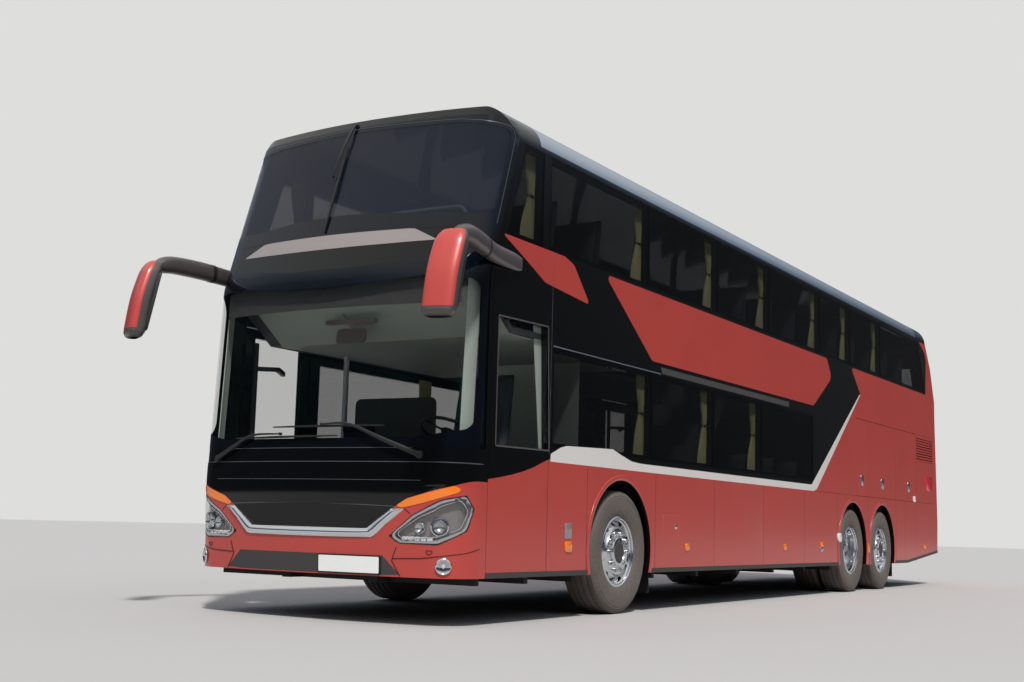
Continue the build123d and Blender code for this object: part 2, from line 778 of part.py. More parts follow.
# Lower deck: floor, driver's platform, bulkheads and the raised floor of the boot
with BuildPart() as lower_floor:
    add(inner_form)
    with BuildSketch(Plane.XZ):
        floor_low = LOWER_FLOOR_TOP - FLOOR_THICK
        boot_low = BOOT_FLOOR_TOP - FLOOR_THICK
        upper_low = UPPER_FLOOR_TOP - FLOOR_THICK
        face(*upright(0, BOOT_FRONT + BULKHEAD, floor_low, LOWER_FLOOR_TOP))
        face(*upright(BOOT_FRONT, BOOT_FRONT + BULKHEAD, floor_low, upper_low))
        face(*upright(BOOT_FRONT, BOOT_REAR, boot_low, BOOT_FLOOR_TOP))
        face(*upright(BOOT_REAR - BULKHEAD, BOOT_REAR, boot_low, upper_low))
        face(*upright(0, PLATFORM_REAR, floor_low, PLATFORM_TOP))
    extrude(amount=REACH, both=True, mode=Mode.INTERSECT)
    block(behind(PLATFORM_REAR), FRONT_X, -SIDE_Y, PLATFORM_Y, LOWER_FLOOR_TOP, PLATFORM_TOP, mode=Mode.SUBTRACT)
    for side in (1, -1):
        _, axle_x, radius, inner_y, _ = AXLES[0]
        cross_bar(
            axle_x,
            TYRE_RADIUS,
            radius + HOUSE_WALL,
            *sorted((side * (inner_y - HOUSE_WALL), side * SIDE_Y)),
            mode=Mode.SUBTRACT,
        )
write("lower_floor", lower_floor)

# Upper deck: floor with two stairwells, rising at the front to meet the brow
stair_run = STAIR_STEPS * STAIR_TREAD + STAIR_NOSING
stair_y = INNER_Y - STAIR_SIDE_GAP - STAIR_WIDTH
with BuildPart() as upper_floor:
    add(inner_form)
    with BuildSketch(Plane.XZ):
        face(
            (REAR_X, UPPER_FLOOR_TOP - FLOOR_THICK),
            (behind(TOE_START), UPPER_FLOOR_TOP - FLOOR_THICK),
            (FRONT_X, UPPER_FLOOR_TOP - FLOOR_THICK + TOE_RISE),
            (FRONT_X, UPPER_FLOOR_TOP + TOE_RISE),
            (behind(TOE_START), UPPER_FLOOR_TOP),
            (REAR_X, UPPER_FLOOR_TOP),
        )
    extrude(amount=REACH, both=True, mode=Mode.INTERSECT)
    for side, foot, climb in STAIRS:
        ends = sorted((behind(foot), behind(foot + climb * stair_run)))
        near, far = sorted((side * stair_y, side * (stair_y + STAIR_WIDTH)))
        block(*ends, near, far, LOWER_FLOOR_TOP, UPPER_FLOOR_TOP + WALL, mode=Mode.SUBTRACT)
write("upper_floor", upper_floor)

# Stairs between the decks
with BuildPart() as stairs:
    riser = (UPPER_FLOOR_TOP - LOWER_FLOOR_TOP) / STAIR_STEPS
    for side, foot, climb in STAIRS:
        steps = [(0, LOWER_FLOOR_TOP)]
        for step in range(STAIR_STEPS):
            steps.append((step * STAIR_TREAD, LOWER_FLOOR_TOP + (step + 1) * riser))
            steps.append(((step + 1) * STAIR_TREAD, LOWER_FLOOR_TOP + (step + 1) * riser))
        steps[-1] = (stair_run, UPPER_FLOOR_TOP)
        steps.append((stair_run, UPPER_FLOOR_TOP - FLOOR_THICK - STAIR_DEPTH))
        steps.append((STAIR_DEPTH, LOWER_FLOOR_TOP))
        with BuildSketch(side_plane(side, WALL + STAIR_SIDE_GAP)):
            face(*[(behind(foot + climb * run), z) for run, z in steps])
        extrude(amount=side * STAIR_WIDTH)
write("stairs", stairs)

# Guard rail behind the upper windscreen, two hoops standing on the raised floor
with BuildPart() as guard_rail:
    for side in (1, -1):
        near, far = side * GUARD_NEAR, side * GUARD_FAR
        with BuildLine():
            FilletPolyline(
                (behind(GUARD_BACK), near, GUARD_FOOT),
                (behind(GUARD_BACK), near, GUARD_TOP),
                (behind(GUARD_BACK), far, GUARD_TOP),
                (behind(GUARD_BACK), far, GUARD_FOOT),
                radius=GUARD_BEND,
            )
        with BuildSketch(Plane.XY.offset(GUARD_FOOT)):
            with Locations((behind(GUARD_BACK), near)):
                Circle(GUARD_R)
        sweep()
    add(upper_floor.part, mode=Mode.SUBTRACT)
write("guard_rail", guard_rail)

# Dashboard with its instrument hood and the steering column
column_back, column_y, column_z = COLUMN_TOP
column_plane = Plane(
    origin=(behind(column_back), column_y, column_z),
    x_dir=(0, 1, 0),
    z_dir=(-sin(radians(COLUMN_TILT)), 0, cos(radians(COLUMN_TILT))),
)
with BuildPart() as dashboard:
    add(inner_form)
    with BuildSketch(Plane.XZ):
        face(*[(behind(distance), z) for distance, z in DASH_OUTLINE])
    extrude(amount=REACH, both=True, mode=Mode.INTERSECT)
    block(behind(DASH_OUTLINE[0][0]) - WALL, FRONT_X, -SIDE_Y, DASH_RIGHT, 0, HEIGHT, mode=Mode.SUBTRACT)
    with BuildSketch(column_plane.offset(-COLUMN_GAP)):
        Circle(COLUMN_R)
    extrude(amount=-COLUMN_LENGTH)
write("dashboard", dashboard)

# Steering wheel: a rim on three spokes
with BuildPart() as steering_wheel:
    with BuildSketch(column_plane):
        RegularPolygon(STEERING_R, STEERING_FLATS)
        RegularPolygon(STEERING_R - STEERING_RIM, STEERING_FLATS, mode=Mode.SUBTRACT)
        Circle(STEERING_HUB)
        with PolarLocations((STEERING_R - STEERING_RIM / 2) / 2, 3, start_angle=STEERING_SPOKE_TURN):
            Rectangle(STEERING_R - STEERING_RIM / 2, STEERING_RIM)
    extrude(amount=STEERING_RIM)
write("steering_wheel", steering_wheel)


def seat(rear_x, y, width, floor_z):
    """Adds one seat or bench with its back, drawn in side view and extruded to its width."""
    with BuildSketch(Plane.XZ.offset(-(y + width / 2))) as section:
        face(*[(rear_x + ahead, floor_z + up) for ahead, up in SEAT_OUTLINE])
    extrude(section.sketch, amount=width)


# Seats of both decks and the driver's seat
with BuildPart() as seats:
    for floor_z, side, first, rows in SEAT_ROWS:
        for row in range(rows):
            y = side * (INNER_Y - SEAT_SIDE_GAP - SEAT_WIDTH / 2)
            seat(behind(first + row * SEAT_PITCH), y, SEAT_WIDTH, floor_z)
    seat(behind(DRIVER_SEAT[0]), DRIVER_SEAT[1], DRIVER_SEAT[2], PLATFORM_TOP)
write("seats", seats)

# Curtains, tied back at the joints between the panes
with BuildPart() as curtains:
    for side in (1, -1):
        with BuildSketch(side_plane(side, WALL)):
            for panes, (low, high) in ((UPPER_PANES, UPPER_GLASS), (LOWER_PANES, LOWER_GLASS)):
                for _, rear in panes[:-1]:
                    if side > 0 or rear < DOORS[1][1]:
                        face(*upright(rear - CURTAIN_HALF, rear + CURTAIN_HALF, low - CURTAIN_DROP, high))
        extrude(amount=side * CURTAIN_THICK)
write("curtains", curtains)

# Wipers, lying on the glass: two on the lower windscreen, one parked upright on the upper one
wiper_form = coach_form(-WIPER_THICK, 0)
with BuildPart() as wipers:
    add(wiper_form)
    with BuildSketch(Plane.YZ):
        for pivot_y, pivot_z, tip_y, tip_z in WIPERS:
            bar_in_sketch((pivot_y, pivot_z), (tip_y, tip_z), WIPER_WIDTH)
    extrude(amount=REACH, mode=Mode.INTERSECT)
    add(outer_form, mode=Mode.SUBTRACT)
write("wipers", wipers)

# Mirrors: a thick arm from each side, turned down into a hanging head
with BuildPart() as mirrors:
    for side, turn in MIRROR_TURNS:
        for distance, y_near, y_far, z_low, z_high in MIRROR_ARM:
            with BuildSketch(Plane.YZ.offset(behind(distance))):
                with Locations((side * (y_near + y_far) / 2, (z_low + z_high) / 2)):
                    RectangleRounded(y_far - y_near, z_high - z_low, MIRROR_ROUND)
        loft(ruled=True)
        for z, distance, y, depth, width in MIRROR_HEAD:
            with BuildSketch(Plane.XY.offset(z)):
                with Locations((behind(distance), side * y)):
                    RectangleRounded(depth, width, MIRROR_HEAD_ROUND, rotation=side * turn)
        loft(ruled=True)
write("mirrors", mirrors)

# Frame under the floor and behind the bulkhead
with BuildPart() as chassis_frame:
    rail_top = LOWER_FLOOR_TOP - FLOOR_THICK
    rear_top = REAR_RAIL_Z + REAR_RAIL_HEIGHT
    for side in (1, -1):
        near, far = sorted((side * (RAIL_Y - RAIL_WIDTH / 2), side * (RAIL_Y + RAIL_WIDTH / 2)))
        block(behind(FRAME_REAR), behind(FRAME_FRONT), near, far, rail_top - RAIL_HEIGHT, rail_top)
        block(behind(FRAME_REAR), behind(BOOT_FRONT + BULKHEAD), near, far, rail_top, rear_top)
        block(REAR_X + FRAME_TAIL, behind(FRAME_REAR), near, far, REAR_RAIL_Z, rear_top)
    half = CROSS_WIDTH / 2
    for distance in CROSS_MEMBERS:
        low_half = RAIL_Y if abs(behind(distance) - FRONT_AXLE_X) < AXLES[0][2] else INNER_Y
        block(behind(distance) - half, behind(distance) + half, -low_half, low_half, rail_top - RAIL_HEIGHT, rail_top)
    for distance in REAR_MEMBERS:
        block(behind(distance) - half, behind(distance) + half, -RAIL_Y, RAIL_Y, REAR_RAIL_Z, rear_top)
write("chassis_frame", chassis_frame)

# Engine, a plain block on the rear rails
engine_length, engine_width, engine_height = ENGINE_SIZE
with BuildPart() as engine:
    block(
        behind(ENGINE_FRONT + engine_length),
        behind(ENGINE_FRONT),
        -engine_width / 2,
        engine_width / 2,
        REAR_RAIL_Z + REAR_RAIL_HEIGHT,
        REAR_RAIL_Z + REAR_RAIL_HEIGHT + engine_height,
    )
write("engine", engine)


def kingpin_eye(axle_x, side):
    """Adds the upright eye at an axle's end and the pin through it."""
    y = side * KINGPIN_Y
    pin_reach = EYE_HALF + LUG_GAP + LUG_THICK
    post(axle_x, y, EYE_R, TYRE_RADIUS - EYE_HALF, TYRE_RADIUS + EYE_HALF)
    post(axle_x, y, KINGPIN_R, TYRE_RADIUS - pin_reach, TYRE_RADIUS + pin_reach)


# Axles: two arms at the front, a beam with hub stubs at the drive wheels, a beam with kingpins at the rear
with BuildPart() as axles:
    for side in (1, -1):
        near, far = sorted((side * AXLES[0][3], side * KINGPIN_Y))
        low, high = TYRE_RADIUS - ARM_HALF_Z, TYRE_RADIUS + ARM_HALF_Z
        block(FRONT_AXLE_X - ARM_HALF_X, FRONT_AXLE_X + ARM_HALF_X, near, far, low, high)
        kingpin_eye(FRONT_AXLE_X, side)
    disc_y = WHEEL_Y - DEEP_DISC - RIM_DISC
    cross_bar(DRIVE_AXLE_X, TYRE_RADIUS, BEAM_R, GAP - disc_y, disc_y - GAP)
    stub_y = WHEEL_Y + DEEP_HUB_REACH - STUB_SEAT
    cross_bar(DRIVE_AXLE_X, TYRE_RADIUS, STUB_R, -stub_y, stub_y)
    cross_bar(TAG_AXLE_X, TYRE_RADIUS, BEAM_R, -KINGPIN_Y, KINGPIN_Y)
    for side in (1, -1):
        kingpin_eye(TAG_AXLE_X, side)
        for axle_x in (DRIVE_AXLE_X, TAG_AXLE_X):
            near, far = sorted((side * (RAIL_Y - RAIL_WIDTH / 2), side * (RAIL_Y + RAIL_WIDTH / 2)))
            block(axle_x - BEAM_R, axle_x + BEAM_R, near, far, TYRE_RADIUS, REAR_RAIL_Z)
write("axles", axles)

# Knuckles of the steered axles: two lugs on the kingpin, an upright and the wheel's stub
for axle_name, axle_x in (("front", FRONT_AXLE_X), ("tag", TAG_AXLE_X)):
    for side, hand in ((1, "left"), (-1, "right")):
        upright_near = KINGPIN_Y + UPRIGHT_NEAR
        upright_far = upright_near + UPRIGHT_THICK
        lug_low = EYE_HALF + LUG_GAP
        lug_high = lug_low + LUG_THICK
        with BuildPart() as knuckle:
            near, far = sorted((side * upright_near, side * upright_far))
            low, high = TYRE_RADIUS - lug_high, TYRE_RADIUS + lug_high
            block(axle_x - UPRIGHT_HALF, axle_x + UPRIGHT_HALF, near, far, low, high)
            near, far = sorted((side * KINGPIN_Y, side * upright_near))
            for low in (TYRE_RADIUS + lug_low, TYRE_RADIUS - lug_high):
                block(axle_x - EYE_R, axle_x + EYE_R, near, far, low, low + LUG_THICK)
                post(axle_x, side * KINGPIN_Y, EYE_R, low, low + LUG_THICK)
            pin_low, pin_high = TYRE_RADIUS - lug_high, TYRE_RADIUS + lug_high
            post(axle_x, side * KINGPIN_Y, KINGPIN_R + RUNNING, pin_low, pin_high, mode=Mode.SUBTRACT)
            near, far = sorted((side * upright_far, side * (WHEEL_Y + RIM_HALF_WIDTH + HUB_REACH - STUB_SEAT)))
            cross_bar(axle_x, TYRE_RADIUS, STUB_R, near, far)
        write(f"knuckle_{axle_name}_{hand}", knuckle)


def rim(axle_x, side, outline):
    """A wheel's rim turned about its axle, from distances outwards of the wheel's middle and radii."""
    with BuildPart() as turned:
        with BuildSketch(Plane.YZ.offset(axle_x)):
            face(*[(side * (WHEEL_Y + out), TYRE_RADIUS + radius) for out, radius in outline])
        revolve(axis=Axis((axle_x, 0, TYRE_RADIUS), (0, 1, 0)))
        with BuildSketch(Plane.XZ.offset(-side * WHEEL_Y)):
            with Locations((axle_x, TYRE_RADIUS)):
                with PolarLocations(HAND_HOLE_AT, HAND_HOLES):
                    Circle(HAND_HOLE_R)
        extrude(amount=RIM_HALF_WIDTH + TWIN_SPACING, both=True, mode=Mode.SUBTRACT)
    return turned


def tyre(axle_x, side, insets):
    """Tyres on one wheel, each a ring with chamfered shoulders whose tread is drawn with flats."""
    with BuildPart() as ring:
        for inset in insets:
            y_high = side * (WHEEL_Y - inset) + TYRE_WIDTH / 2
            with BuildSketch(Plane.XZ.offset(-y_high)):
                with Locations((axle_x, TYRE_RADIUS)):
                    RegularPolygon(TYRE_RADIUS, TREAD_FLATS, major_radius=False, rotation=180 / TREAD_FLATS)
            extrude(amount=TYRE_WIDTH)
        chamfer(ring.edges().filter_by(Axis.Y, reverse=True), SHOULDER)
        for inset in insets:
            y_high = side * (WHEEL_Y - inset) + TYRE_WIDTH / 2
            cross_bar(axle_x, TYRE_RADIUS, BEAD_R, y_high - TYRE_WIDTH, y_high, mode=Mode.SUBTRACT)
    return ring


bore_r = STUB_R + RUNNING
cavity_r = BEAD_R - BARREL_WALL
hub_face = RIM_HALF_WIDTH + HUB_REACH
bore_end = hub_face - STUB_SEAT + GAP
SINGLE_RIM = [
    (-RIM_HALF_WIDTH, BEAD_R),
    (RIM_HALF_WIDTH, BEAD_R),
    (RIM_HALF_WIDTH, cavity_r),
    (DISC_FOOT, cavity_r),
    (RIM_HALF_WIDTH, NUT_RING_R),
    (RIM_HALF_WIDTH, HUB_R),
    (hub_face, HUB_R),
    (hub_face, 0),
    (bore_end, 0),
    (bore_end, bore_r),
    (RIM_HALF_WIDTH - RIM_DISC, bore_r),
    (RIM_HALF_WIDTH - RIM_DISC, NUT_RING_R),
    (DISC_FOOT - RIM_DISC, cavity_r),
    (-RIM_HALF_WIDTH, cavity_r),
]
deep_end = DEEP_HUB_REACH - STUB_SEAT + GAP
TWIN_RIM = [
    (-TWIN_SPACING - RIM_HALF_WIDTH, BEAD_R),
    (RIM_HALF_WIDTH, BEAD_R),
    (RIM_HALF_WIDTH, cavity_r),
    (-DEEP_DISC, cavity_r),
    (-DEEP_DISC, HUB_R),
    (DEEP_HUB_REACH, HUB_R),
    (DEEP_HUB_REACH, 0),
    (deep_end, 0),
    (deep_end, bore_r),
    (-DEEP_DISC - RIM_DISC, bore_r),
    (-DEEP_DISC - RIM_DISC, cavity_r),
    (-TWIN_SPACING - RIM_HALF_WIDTH, cavity_r),
]

# Wheels: single at the front and rearmost axles, twin at the drive axle
for axle_name, axle_x, _, _, _ in AXLES:
    for side, hand in ((1, "left"), (-1, "right")):
        twin = axle_name == "drive"
        write(f"rim_{axle_name}_{hand}", rim(axle_x, side, TWIN_RIM if twin else SINGLE_RIM))
        write(f"tyre_{axle_name}_{hand}", tyre(axle_x, side, (0, TWIN_SPACING) if twin else (0,)))
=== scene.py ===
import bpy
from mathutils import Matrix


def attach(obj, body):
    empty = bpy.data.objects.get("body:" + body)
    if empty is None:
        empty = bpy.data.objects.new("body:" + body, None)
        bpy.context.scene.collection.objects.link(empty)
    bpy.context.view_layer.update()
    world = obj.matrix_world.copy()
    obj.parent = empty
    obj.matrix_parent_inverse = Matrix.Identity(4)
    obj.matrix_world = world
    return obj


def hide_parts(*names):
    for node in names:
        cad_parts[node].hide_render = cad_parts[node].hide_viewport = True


bl_info = {
    "name": "Touring coach",
    "version": (1, 0, 0),
    "blender": (4, 5, 0),
    "location": "View3D > Sidebar > Coach",
    "description": "Dresses a double-deck touring coach around its packed frame",
    "category": "Add Mesh",
}

import math

import bpy
import numpy as np
from mathutils import Matrix, Vector
from mathutils.geometry import delaunay_2d_cdt

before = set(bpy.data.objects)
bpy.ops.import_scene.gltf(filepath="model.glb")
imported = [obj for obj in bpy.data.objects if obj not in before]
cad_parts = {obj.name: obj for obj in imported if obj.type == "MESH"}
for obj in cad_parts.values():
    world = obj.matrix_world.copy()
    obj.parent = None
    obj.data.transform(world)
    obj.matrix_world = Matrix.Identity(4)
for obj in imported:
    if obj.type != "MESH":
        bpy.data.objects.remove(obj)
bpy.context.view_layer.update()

# sizes of the body, in metres
LENGTH = 14.000
FRONT_X = 6.730
REAR_X = -7.270
SIDE_Y = 1.275
SKIRT_Z = 0.345
EAVES_Z = 3.700
EAVES_R = 0.260
HEIGHT = 4.000
CROWN_RISE = 0.300
FRONT_ARC_R = 5.260
CORNER_R = 0.310
REAR_CORNER_R = 0.170
# The lofted form: heights, and how far the front and the rear are drawn in at each.
FORM_Z = np.array([0.284, 0.980, 2.560, 2.640, 2.842, 3.346, 3.869, 3.950, 4.000])
FORM_FRONT = np.array([0.036, 0.0, 0.076, 0.092, 0.158, 0.322, 0.489, 0.545, 0.680])
FORM_REAR = np.array([0.040, 0.0, 0.094, 0.094, 0.094, 0.327, 0.757, 0.850, 1.000])
CORNER_TURN = math.asin((SIDE_Y - CORNER_R) / (FRONT_ARC_R - CORNER_R))
ARC_RUN = FRONT_ARC_R * CORNER_TURN
CORNER_RUN = CORNER_R * (math.pi / 2 - CORNER_TURN)
EAVES_Y = SIDE_Y - EAVES_R
CROWN_R = (EAVES_Y**2 + CROWN_RISE**2 - EAVES_R**2) / (2 * (CROWN_RISE - EAVES_R))
CROWN_TURN = math.asin(EAVES_Y / (CROWN_R - EAVES_R))
CORNER_SEAM = 0.518  # from the front back to the seam between its corner and the side
REAR_SEAM = 0.230  # from the rear forward to the seam between its corner and the side

AXLE_X = {"front": 3.984, "drive": -2.716, "tag": -4.066}
AXLE_Z = 0.530
WHEEL_Y = 1.094
TWIN_SPACING = 0.350
# The arches over the wheels: how far ahead of the axle, height of the middle, radius, and the lip's radius.
ARCH_AHEAD = 0.040
ARCH_Z = 0.549
ARCH_R = 0.595
LIP_R = 0.617
HANDS = (("left", 1), ("right", -1))


# colours and finishes
def linear(code):
    """A colour written as an sRGB hex code, turned to linear red, green, blue and full opacity."""
    parts = [int(code[k : k + 2], 16) / 255 for k in (1, 3, 5)]
    return [c / 12.92 if c <= 0.04045 else ((c + 0.055) / 1.055) ** 2.4 for c in parts] + [1.0]


def add_node(tree, kind, links=None, **settings):
    """Adds one node, sets its properties and sockets by name, and links its inputs from other nodes' outputs."""
    made = tree.nodes.new(kind)
    for name, value in settings.items():
        socket = name.replace("_", " ")
        if socket in made.inputs:
            made.inputs[socket].default_value = value
        else:
            setattr(made, name, value)
    for socket, source in (links or {}).items():
        tree.links.new(source, made.inputs[socket])
    return made


# Finishes. Columns: name, colour, roughness, metallic, IOR, coat, colour variation, pattern size in mm,
# bump height in mm, opacity, slot.
FINISHES = (
    # Coral red metallic basecoat under clear lacquer, sprayed: soft gloss with a little orange peel.
    ("coral red metallic lacquer", "#B63E35", 0.34, 0.10, 1.5, 0.4, 0.04, 9, 0.006, 1, "body_paint"),
    # Piano black acrylic panels and black screen print on glass: mirror gloss.
    ("piano black acrylic", "#060708", 0.07, 0.0, 1.45, 0.0, 0.02, 300, 0.0, 1, "black_panel"),
    # Ceramic frit fired into the windscreen's border.
    ("black ceramic frit", "#050911", 0.07, 0.0, 1.45, 0.0, 0.02, 300, 0.0, 1, "black_panel"),
    # The lit rounded edge of a black panel.
    ("black acrylic edge highlight", "#45484D", 0.35, 0.0, 1.49, 0.2, 0.03, 20, 0.0, 1, "black_panel"),
    # Grey privacy glass, floated: dark, sharp reflections, the cabin just showing.
    ("privacy glass", "#040506", 0.02, 0.0, 1.5, 0.0, 0.0, 300, 0.0, 0.50, "tinted_glass"),
    # Clear laminated glass with a green cast.
    ("laminated windscreen glass", "#0C1A1C", 0.02, 0.0, 1.5, 0.0, 0.0, 300, 0.0, 0.12, "windscreen_glass"),
    # Upper windscreen, tinted navy.
    ("tinted windscreen glass", "#0A1526", 0.02, 0.0, 1.5, 0.0, 0.0, 300, 0.0, 0.56, "windscreen_glass"),
    # The lit rounded edge of a lacquered panel, paler than its face.
    ("coral red edge highlight", "#BE5449", 0.4, 0.0, 1.5, 0.4, 0.03, 9, 0.0, 1, "body_paint"),
    # Moulded polycarbonate arms and housings, warm grey, satin.
    ("taupe moulded polycarbonate", "#463F3E", 0.36, 0.0, 1.58, 0.2, 0.04, 5, 0.01, 1, "grey_plastic"),
    # Chrome plated ABS trim.
    ("chrome plating", "#D9DCE0", 0.06, 1.0, 1.5, 0.0, 0.02, 60, 0.0, 1, "chrome_trim"),
    # Forged aluminium, turned and polished.
    ("polished forged aluminium", "#D3D5D8", 0.16, 1.0, 1.5, 0.0, 0.05, 14, 0.01, 1, "bright_aluminium"),
    # Anodised aluminium extrusion, satin.
    ("anodised aluminium", "#B4BCC8", 0.26, 1.0, 1.5, 0.0, 0.04, 40, 0.004, 1, "bright_aluminium"),
    # Tyre rubber, moulded, a little dusty; its pale colour is also painted sunlight on the walls.
    ("tyre rubber", "#5E554F", 0.80, 0.0, 1.52, 0.0, 0.22, 22, 0.25, 1, "tyre_rubber"),
    # White vinyl film.
    ("warm white vinyl film", "#D8D2CC", 0.32, 0.0, 1.5, 0.3, 0.02, 200, 0.0, 1, "body_paint"),
    # Taupe lacquered panel.
    ("taupe metallic lacquer", "#988E8B", 0.30, 0.35, 1.5, 0.6, 0.03, 12, 0.004, 1, "grey_plastic"),
    # Moulded polypropylene, fine grain.
    ("dark grey moulded polypropylene", "#3A3736", 0.55, 0.0, 1.49, 0.0, 0.08, 3, 0.05, 1, "grey_plastic"),
    # The same grain in black: arms, blades and mouldings.
    ("black moulded polypropylene", "#161617", 0.5, 0.0, 1.49, 0.0, 0.08, 3, 0.05, 1, "dark_plastic"),
    # Punched panel inside the chrome bar: its holes swallow the light, so it stays near black.
    ("black punched panel", "#0A0809", 0.62, 0.0, 1.49, 0.0, 0.3, 4, 0.2, 1, "black_panel"),
    # Underbody, steel with a dull black bitumen coat.
    ("black underbody coat", "#1B1A1A", 0.72, 0.0, 1.5, 0.0, 0.2, 45, 0.3, 1, "dark_plastic"),
    # Matt dark grey sheet laid flush in the shut lines: painted shade for the gaps between panels.
    ("shut line rubber", "#1C1010", 0.8, 0.0, 1.5, 0.0, 0.0, 100, 0.0, 1, "dark_plastic"),
    # Amber polycarbonate lens.
    ("amber polycarbonate", "#F07A12", 0.18, 0.0, 1.58, 0.5, 0.03, 6, 0.03, 1, "lamp_lens"),
    # Red moulded lens: deep and glossy.
    ("red polycarbonate", "#C21C2B", 0.2, 0.0, 1.58, 0.5, 0.03, 5, 0.03, 1, "red_lens"),
    # Clear polycarbonate lamp cover.
    ("clear polycarbonate", "#3C4044", 0.04, 0.0, 1.58, 0.0, 0.0, 100, 0.0, 0.10, "lamp_lens"),
    # Opal lens: white and even.
    ("white polycarbonate", "#E4E4E0", 0.2, 0.0, 1.58, 0.4, 0.0, 100, 0.0, 1, "lamp_lens"),
    # Seat plush.
    ("seat plush", "#33343C", 0.92, 0.0, 1.5, 0.0, 0.35, 9, 0.5, 1, "seat_fabric"),
    # Woven beige curtain.
    ("beige curtain weave", "#E6DFA8", 0.86, 0.0, 1.5, 0.0, 0.18, 6, 0.25, 1, "curtain_fabric"),
    # Powder-coated tube, pale and satin: it shows through dark glass.
    ("pale powder-coated tube", "#C3C8CC", 0.45, 0.0, 1.5, 0.0, 0.05, 6, 0.02, 1, "steel_tube"),
    # Speckled vinyl floor, scuffed dull.
    ("floor covering", "#4B4B4E", 0.75, 0.0, 1.5, 0.0, 0.2, 12, 0.1, 1, "dark_plastic"),
    # Bright tube with a fine brushed haze.
    ("brushed stainless tube", "#B9BCC0", 0.28, 1.0, 1.5, 0.0, 0.04, 5, 0.01, 1, "steel_tube"),
    # Rough dark casting.
    ("cast iron", "#3B3C3E", 0.7, 0.4, 1.5, 0.0, 0.2, 12, 0.3, 1, "dark_plastic"),
    # Pale green-grey moulded linings by the driver.
    ("pale green moulded lining", "#AEB8AC", 0.5, 0.0, 1.49, 0.0, 0.05, 6, 0.03, 1, "grey_plastic"),
    # Plain pale plate, even and slightly glossy.
    ("blank plate lacquer", "#E9E8E4", 0.28, 0.0, 1.5, 0.3, 0.02, 60, 0.0, 1, "body_paint"),
    # Silvered glass.
    ("mirror glass", "#C8CDD2", 0.01, 1.0, 1.5, 0.0, 0.0, 100, 0.0, 1, "chrome_trim"),
)


def own_colour(name, description, code):
    """A setting for a colour that a user would change."""
    return bpy.props.FloatVectorProperty(
        name=name, description=description, subtype="COLOR", size=4, min=0, max=1, default=linear(code)
    )


def own_length(name, description, low, high, usual):
    """A setting for a length that a user would change, with its limits and its usual value in metres."""
    return bpy.props.FloatProperty(
        name=name, description=description, unit="LENGTH", min=low, max=high, default=usual
    )


class CoachColours(bpy.types.PropertyGroup):
    """Colours of the coach that a user would change"""

    paint: own_colour("Body paint", "Red of the lower body, the swooshes and the mirror shells", "#B63E35")
    panel: own_colour("Upper panels", "Black of the upper body and of the front", "#060708")
    curtain: own_colour("Curtains", "Cloth of the tied curtains", "#E6DFA8")
    plush: own_colour("Seat plush", "Cloth of the seats", "#33343C")


class CoachSizes(bpy.types.PropertyGroup):
    """Sizes of the coach's soft pieces and of its stage that a user would change"""

    cushion_crown: own_length("Cushion crown", "How far the middle of a cushion stands out", 0, 0.02, 0.008)
    curtain_width: own_length("Curtain width", "Width of a curtain's cloth laid flat", 0.35, 0.6, 0.46)
    floor_reach: own_length("Floor reach", "Half the width of the studio floor", 10, 200, 90.0)


# The finishes whose colour is a user's setting.
OWN_COLOURS = {
    "coral red metallic lacquer": "paint",
    "piano black acrylic": "panel",
    "beige curtain weave": "curtain",
    "seat plush": "plush",
}


def finish_material(name, colour, rough, metal, ior, coat, variation, size_mm, bump_mm, opacity):
    """A finish: noise in two scales shifts its colour and roughness, and its bump stands for the surface grain."""
    made = bpy.data.materials.new(name)
    made.use_nodes = True
    tree = made.node_tree
    shader = tree.nodes["Principled BSDF"]
    place = add_node(tree, "ShaderNodeTexCoord")
    scale = 1000 / size_mm
    where = {"Vector": place.outputs["Object"]}
    grain = add_node(tree, "ShaderNodeTexNoise", where, Scale=scale, Detail=3.0, Roughness=0.6)
    cloud = add_node(tree, "ShaderNodeTexNoise", where, Scale=1.7, Detail=2.0)
    both = {0: grain.outputs["Fac"], 1: cloud.outputs["Fac"]}
    blend = add_node(tree, "ShaderNodeMath", both, operation="MULTIPLY")
    dark = [c * (1 - variation) for c in colour[:3]] + [1.0]
    pale = [min(1.0, c * (1 + variation)) for c in colour[:3]] + [1.0]
    tone = add_node(tree, "ShaderNodeValToRGB", {"Fac": blend.outputs["Value"]})
    for stop, spot, shade in zip(tone.color_ramp.elements, (0.12, 0.42), (dark, pale)):
        stop.position, stop.color = spot, shade
    tree.links.new(tone.outputs["Color"], shader.inputs["Base Color"])
    dull = min(1.0, rough * (1 + 2 * variation))
    spread = {"Value": cloud.outputs["Fac"]}
    rub = add_node(tree, "ShaderNodeMapRange", spread, To_Min=rough * (1 - variation), To_Max=dull)
    tree.links.new(rub.outputs["Result"], shader.inputs["Roughness"])
    if bump_mm:
        relief = {"Height": grain.outputs["Fac"]}
        bump = add_node(tree, "ShaderNodeBump", relief, Strength=0.6, Distance=bump_mm / 1000)
        tree.links.new(bump.outputs["Normal"], shader.inputs["Normal"])
    plain = {"Metallic": metal, "IOR": ior, "Coat Weight": coat, "Coat Roughness": 0.4 * rough, "Alpha": opacity}
    for socket, value in plain.items():
        shader.inputs[socket].default_value = value
    return made


# Each finish's material, filled by the operator that makes the finishes.
MATERIALS = {}


# the body's form as a function of place
def front_at(z):
    """Place of the front's centre at each height."""
    return FRONT_X - np.interp(z, FORM_Z, FORM_FRONT)


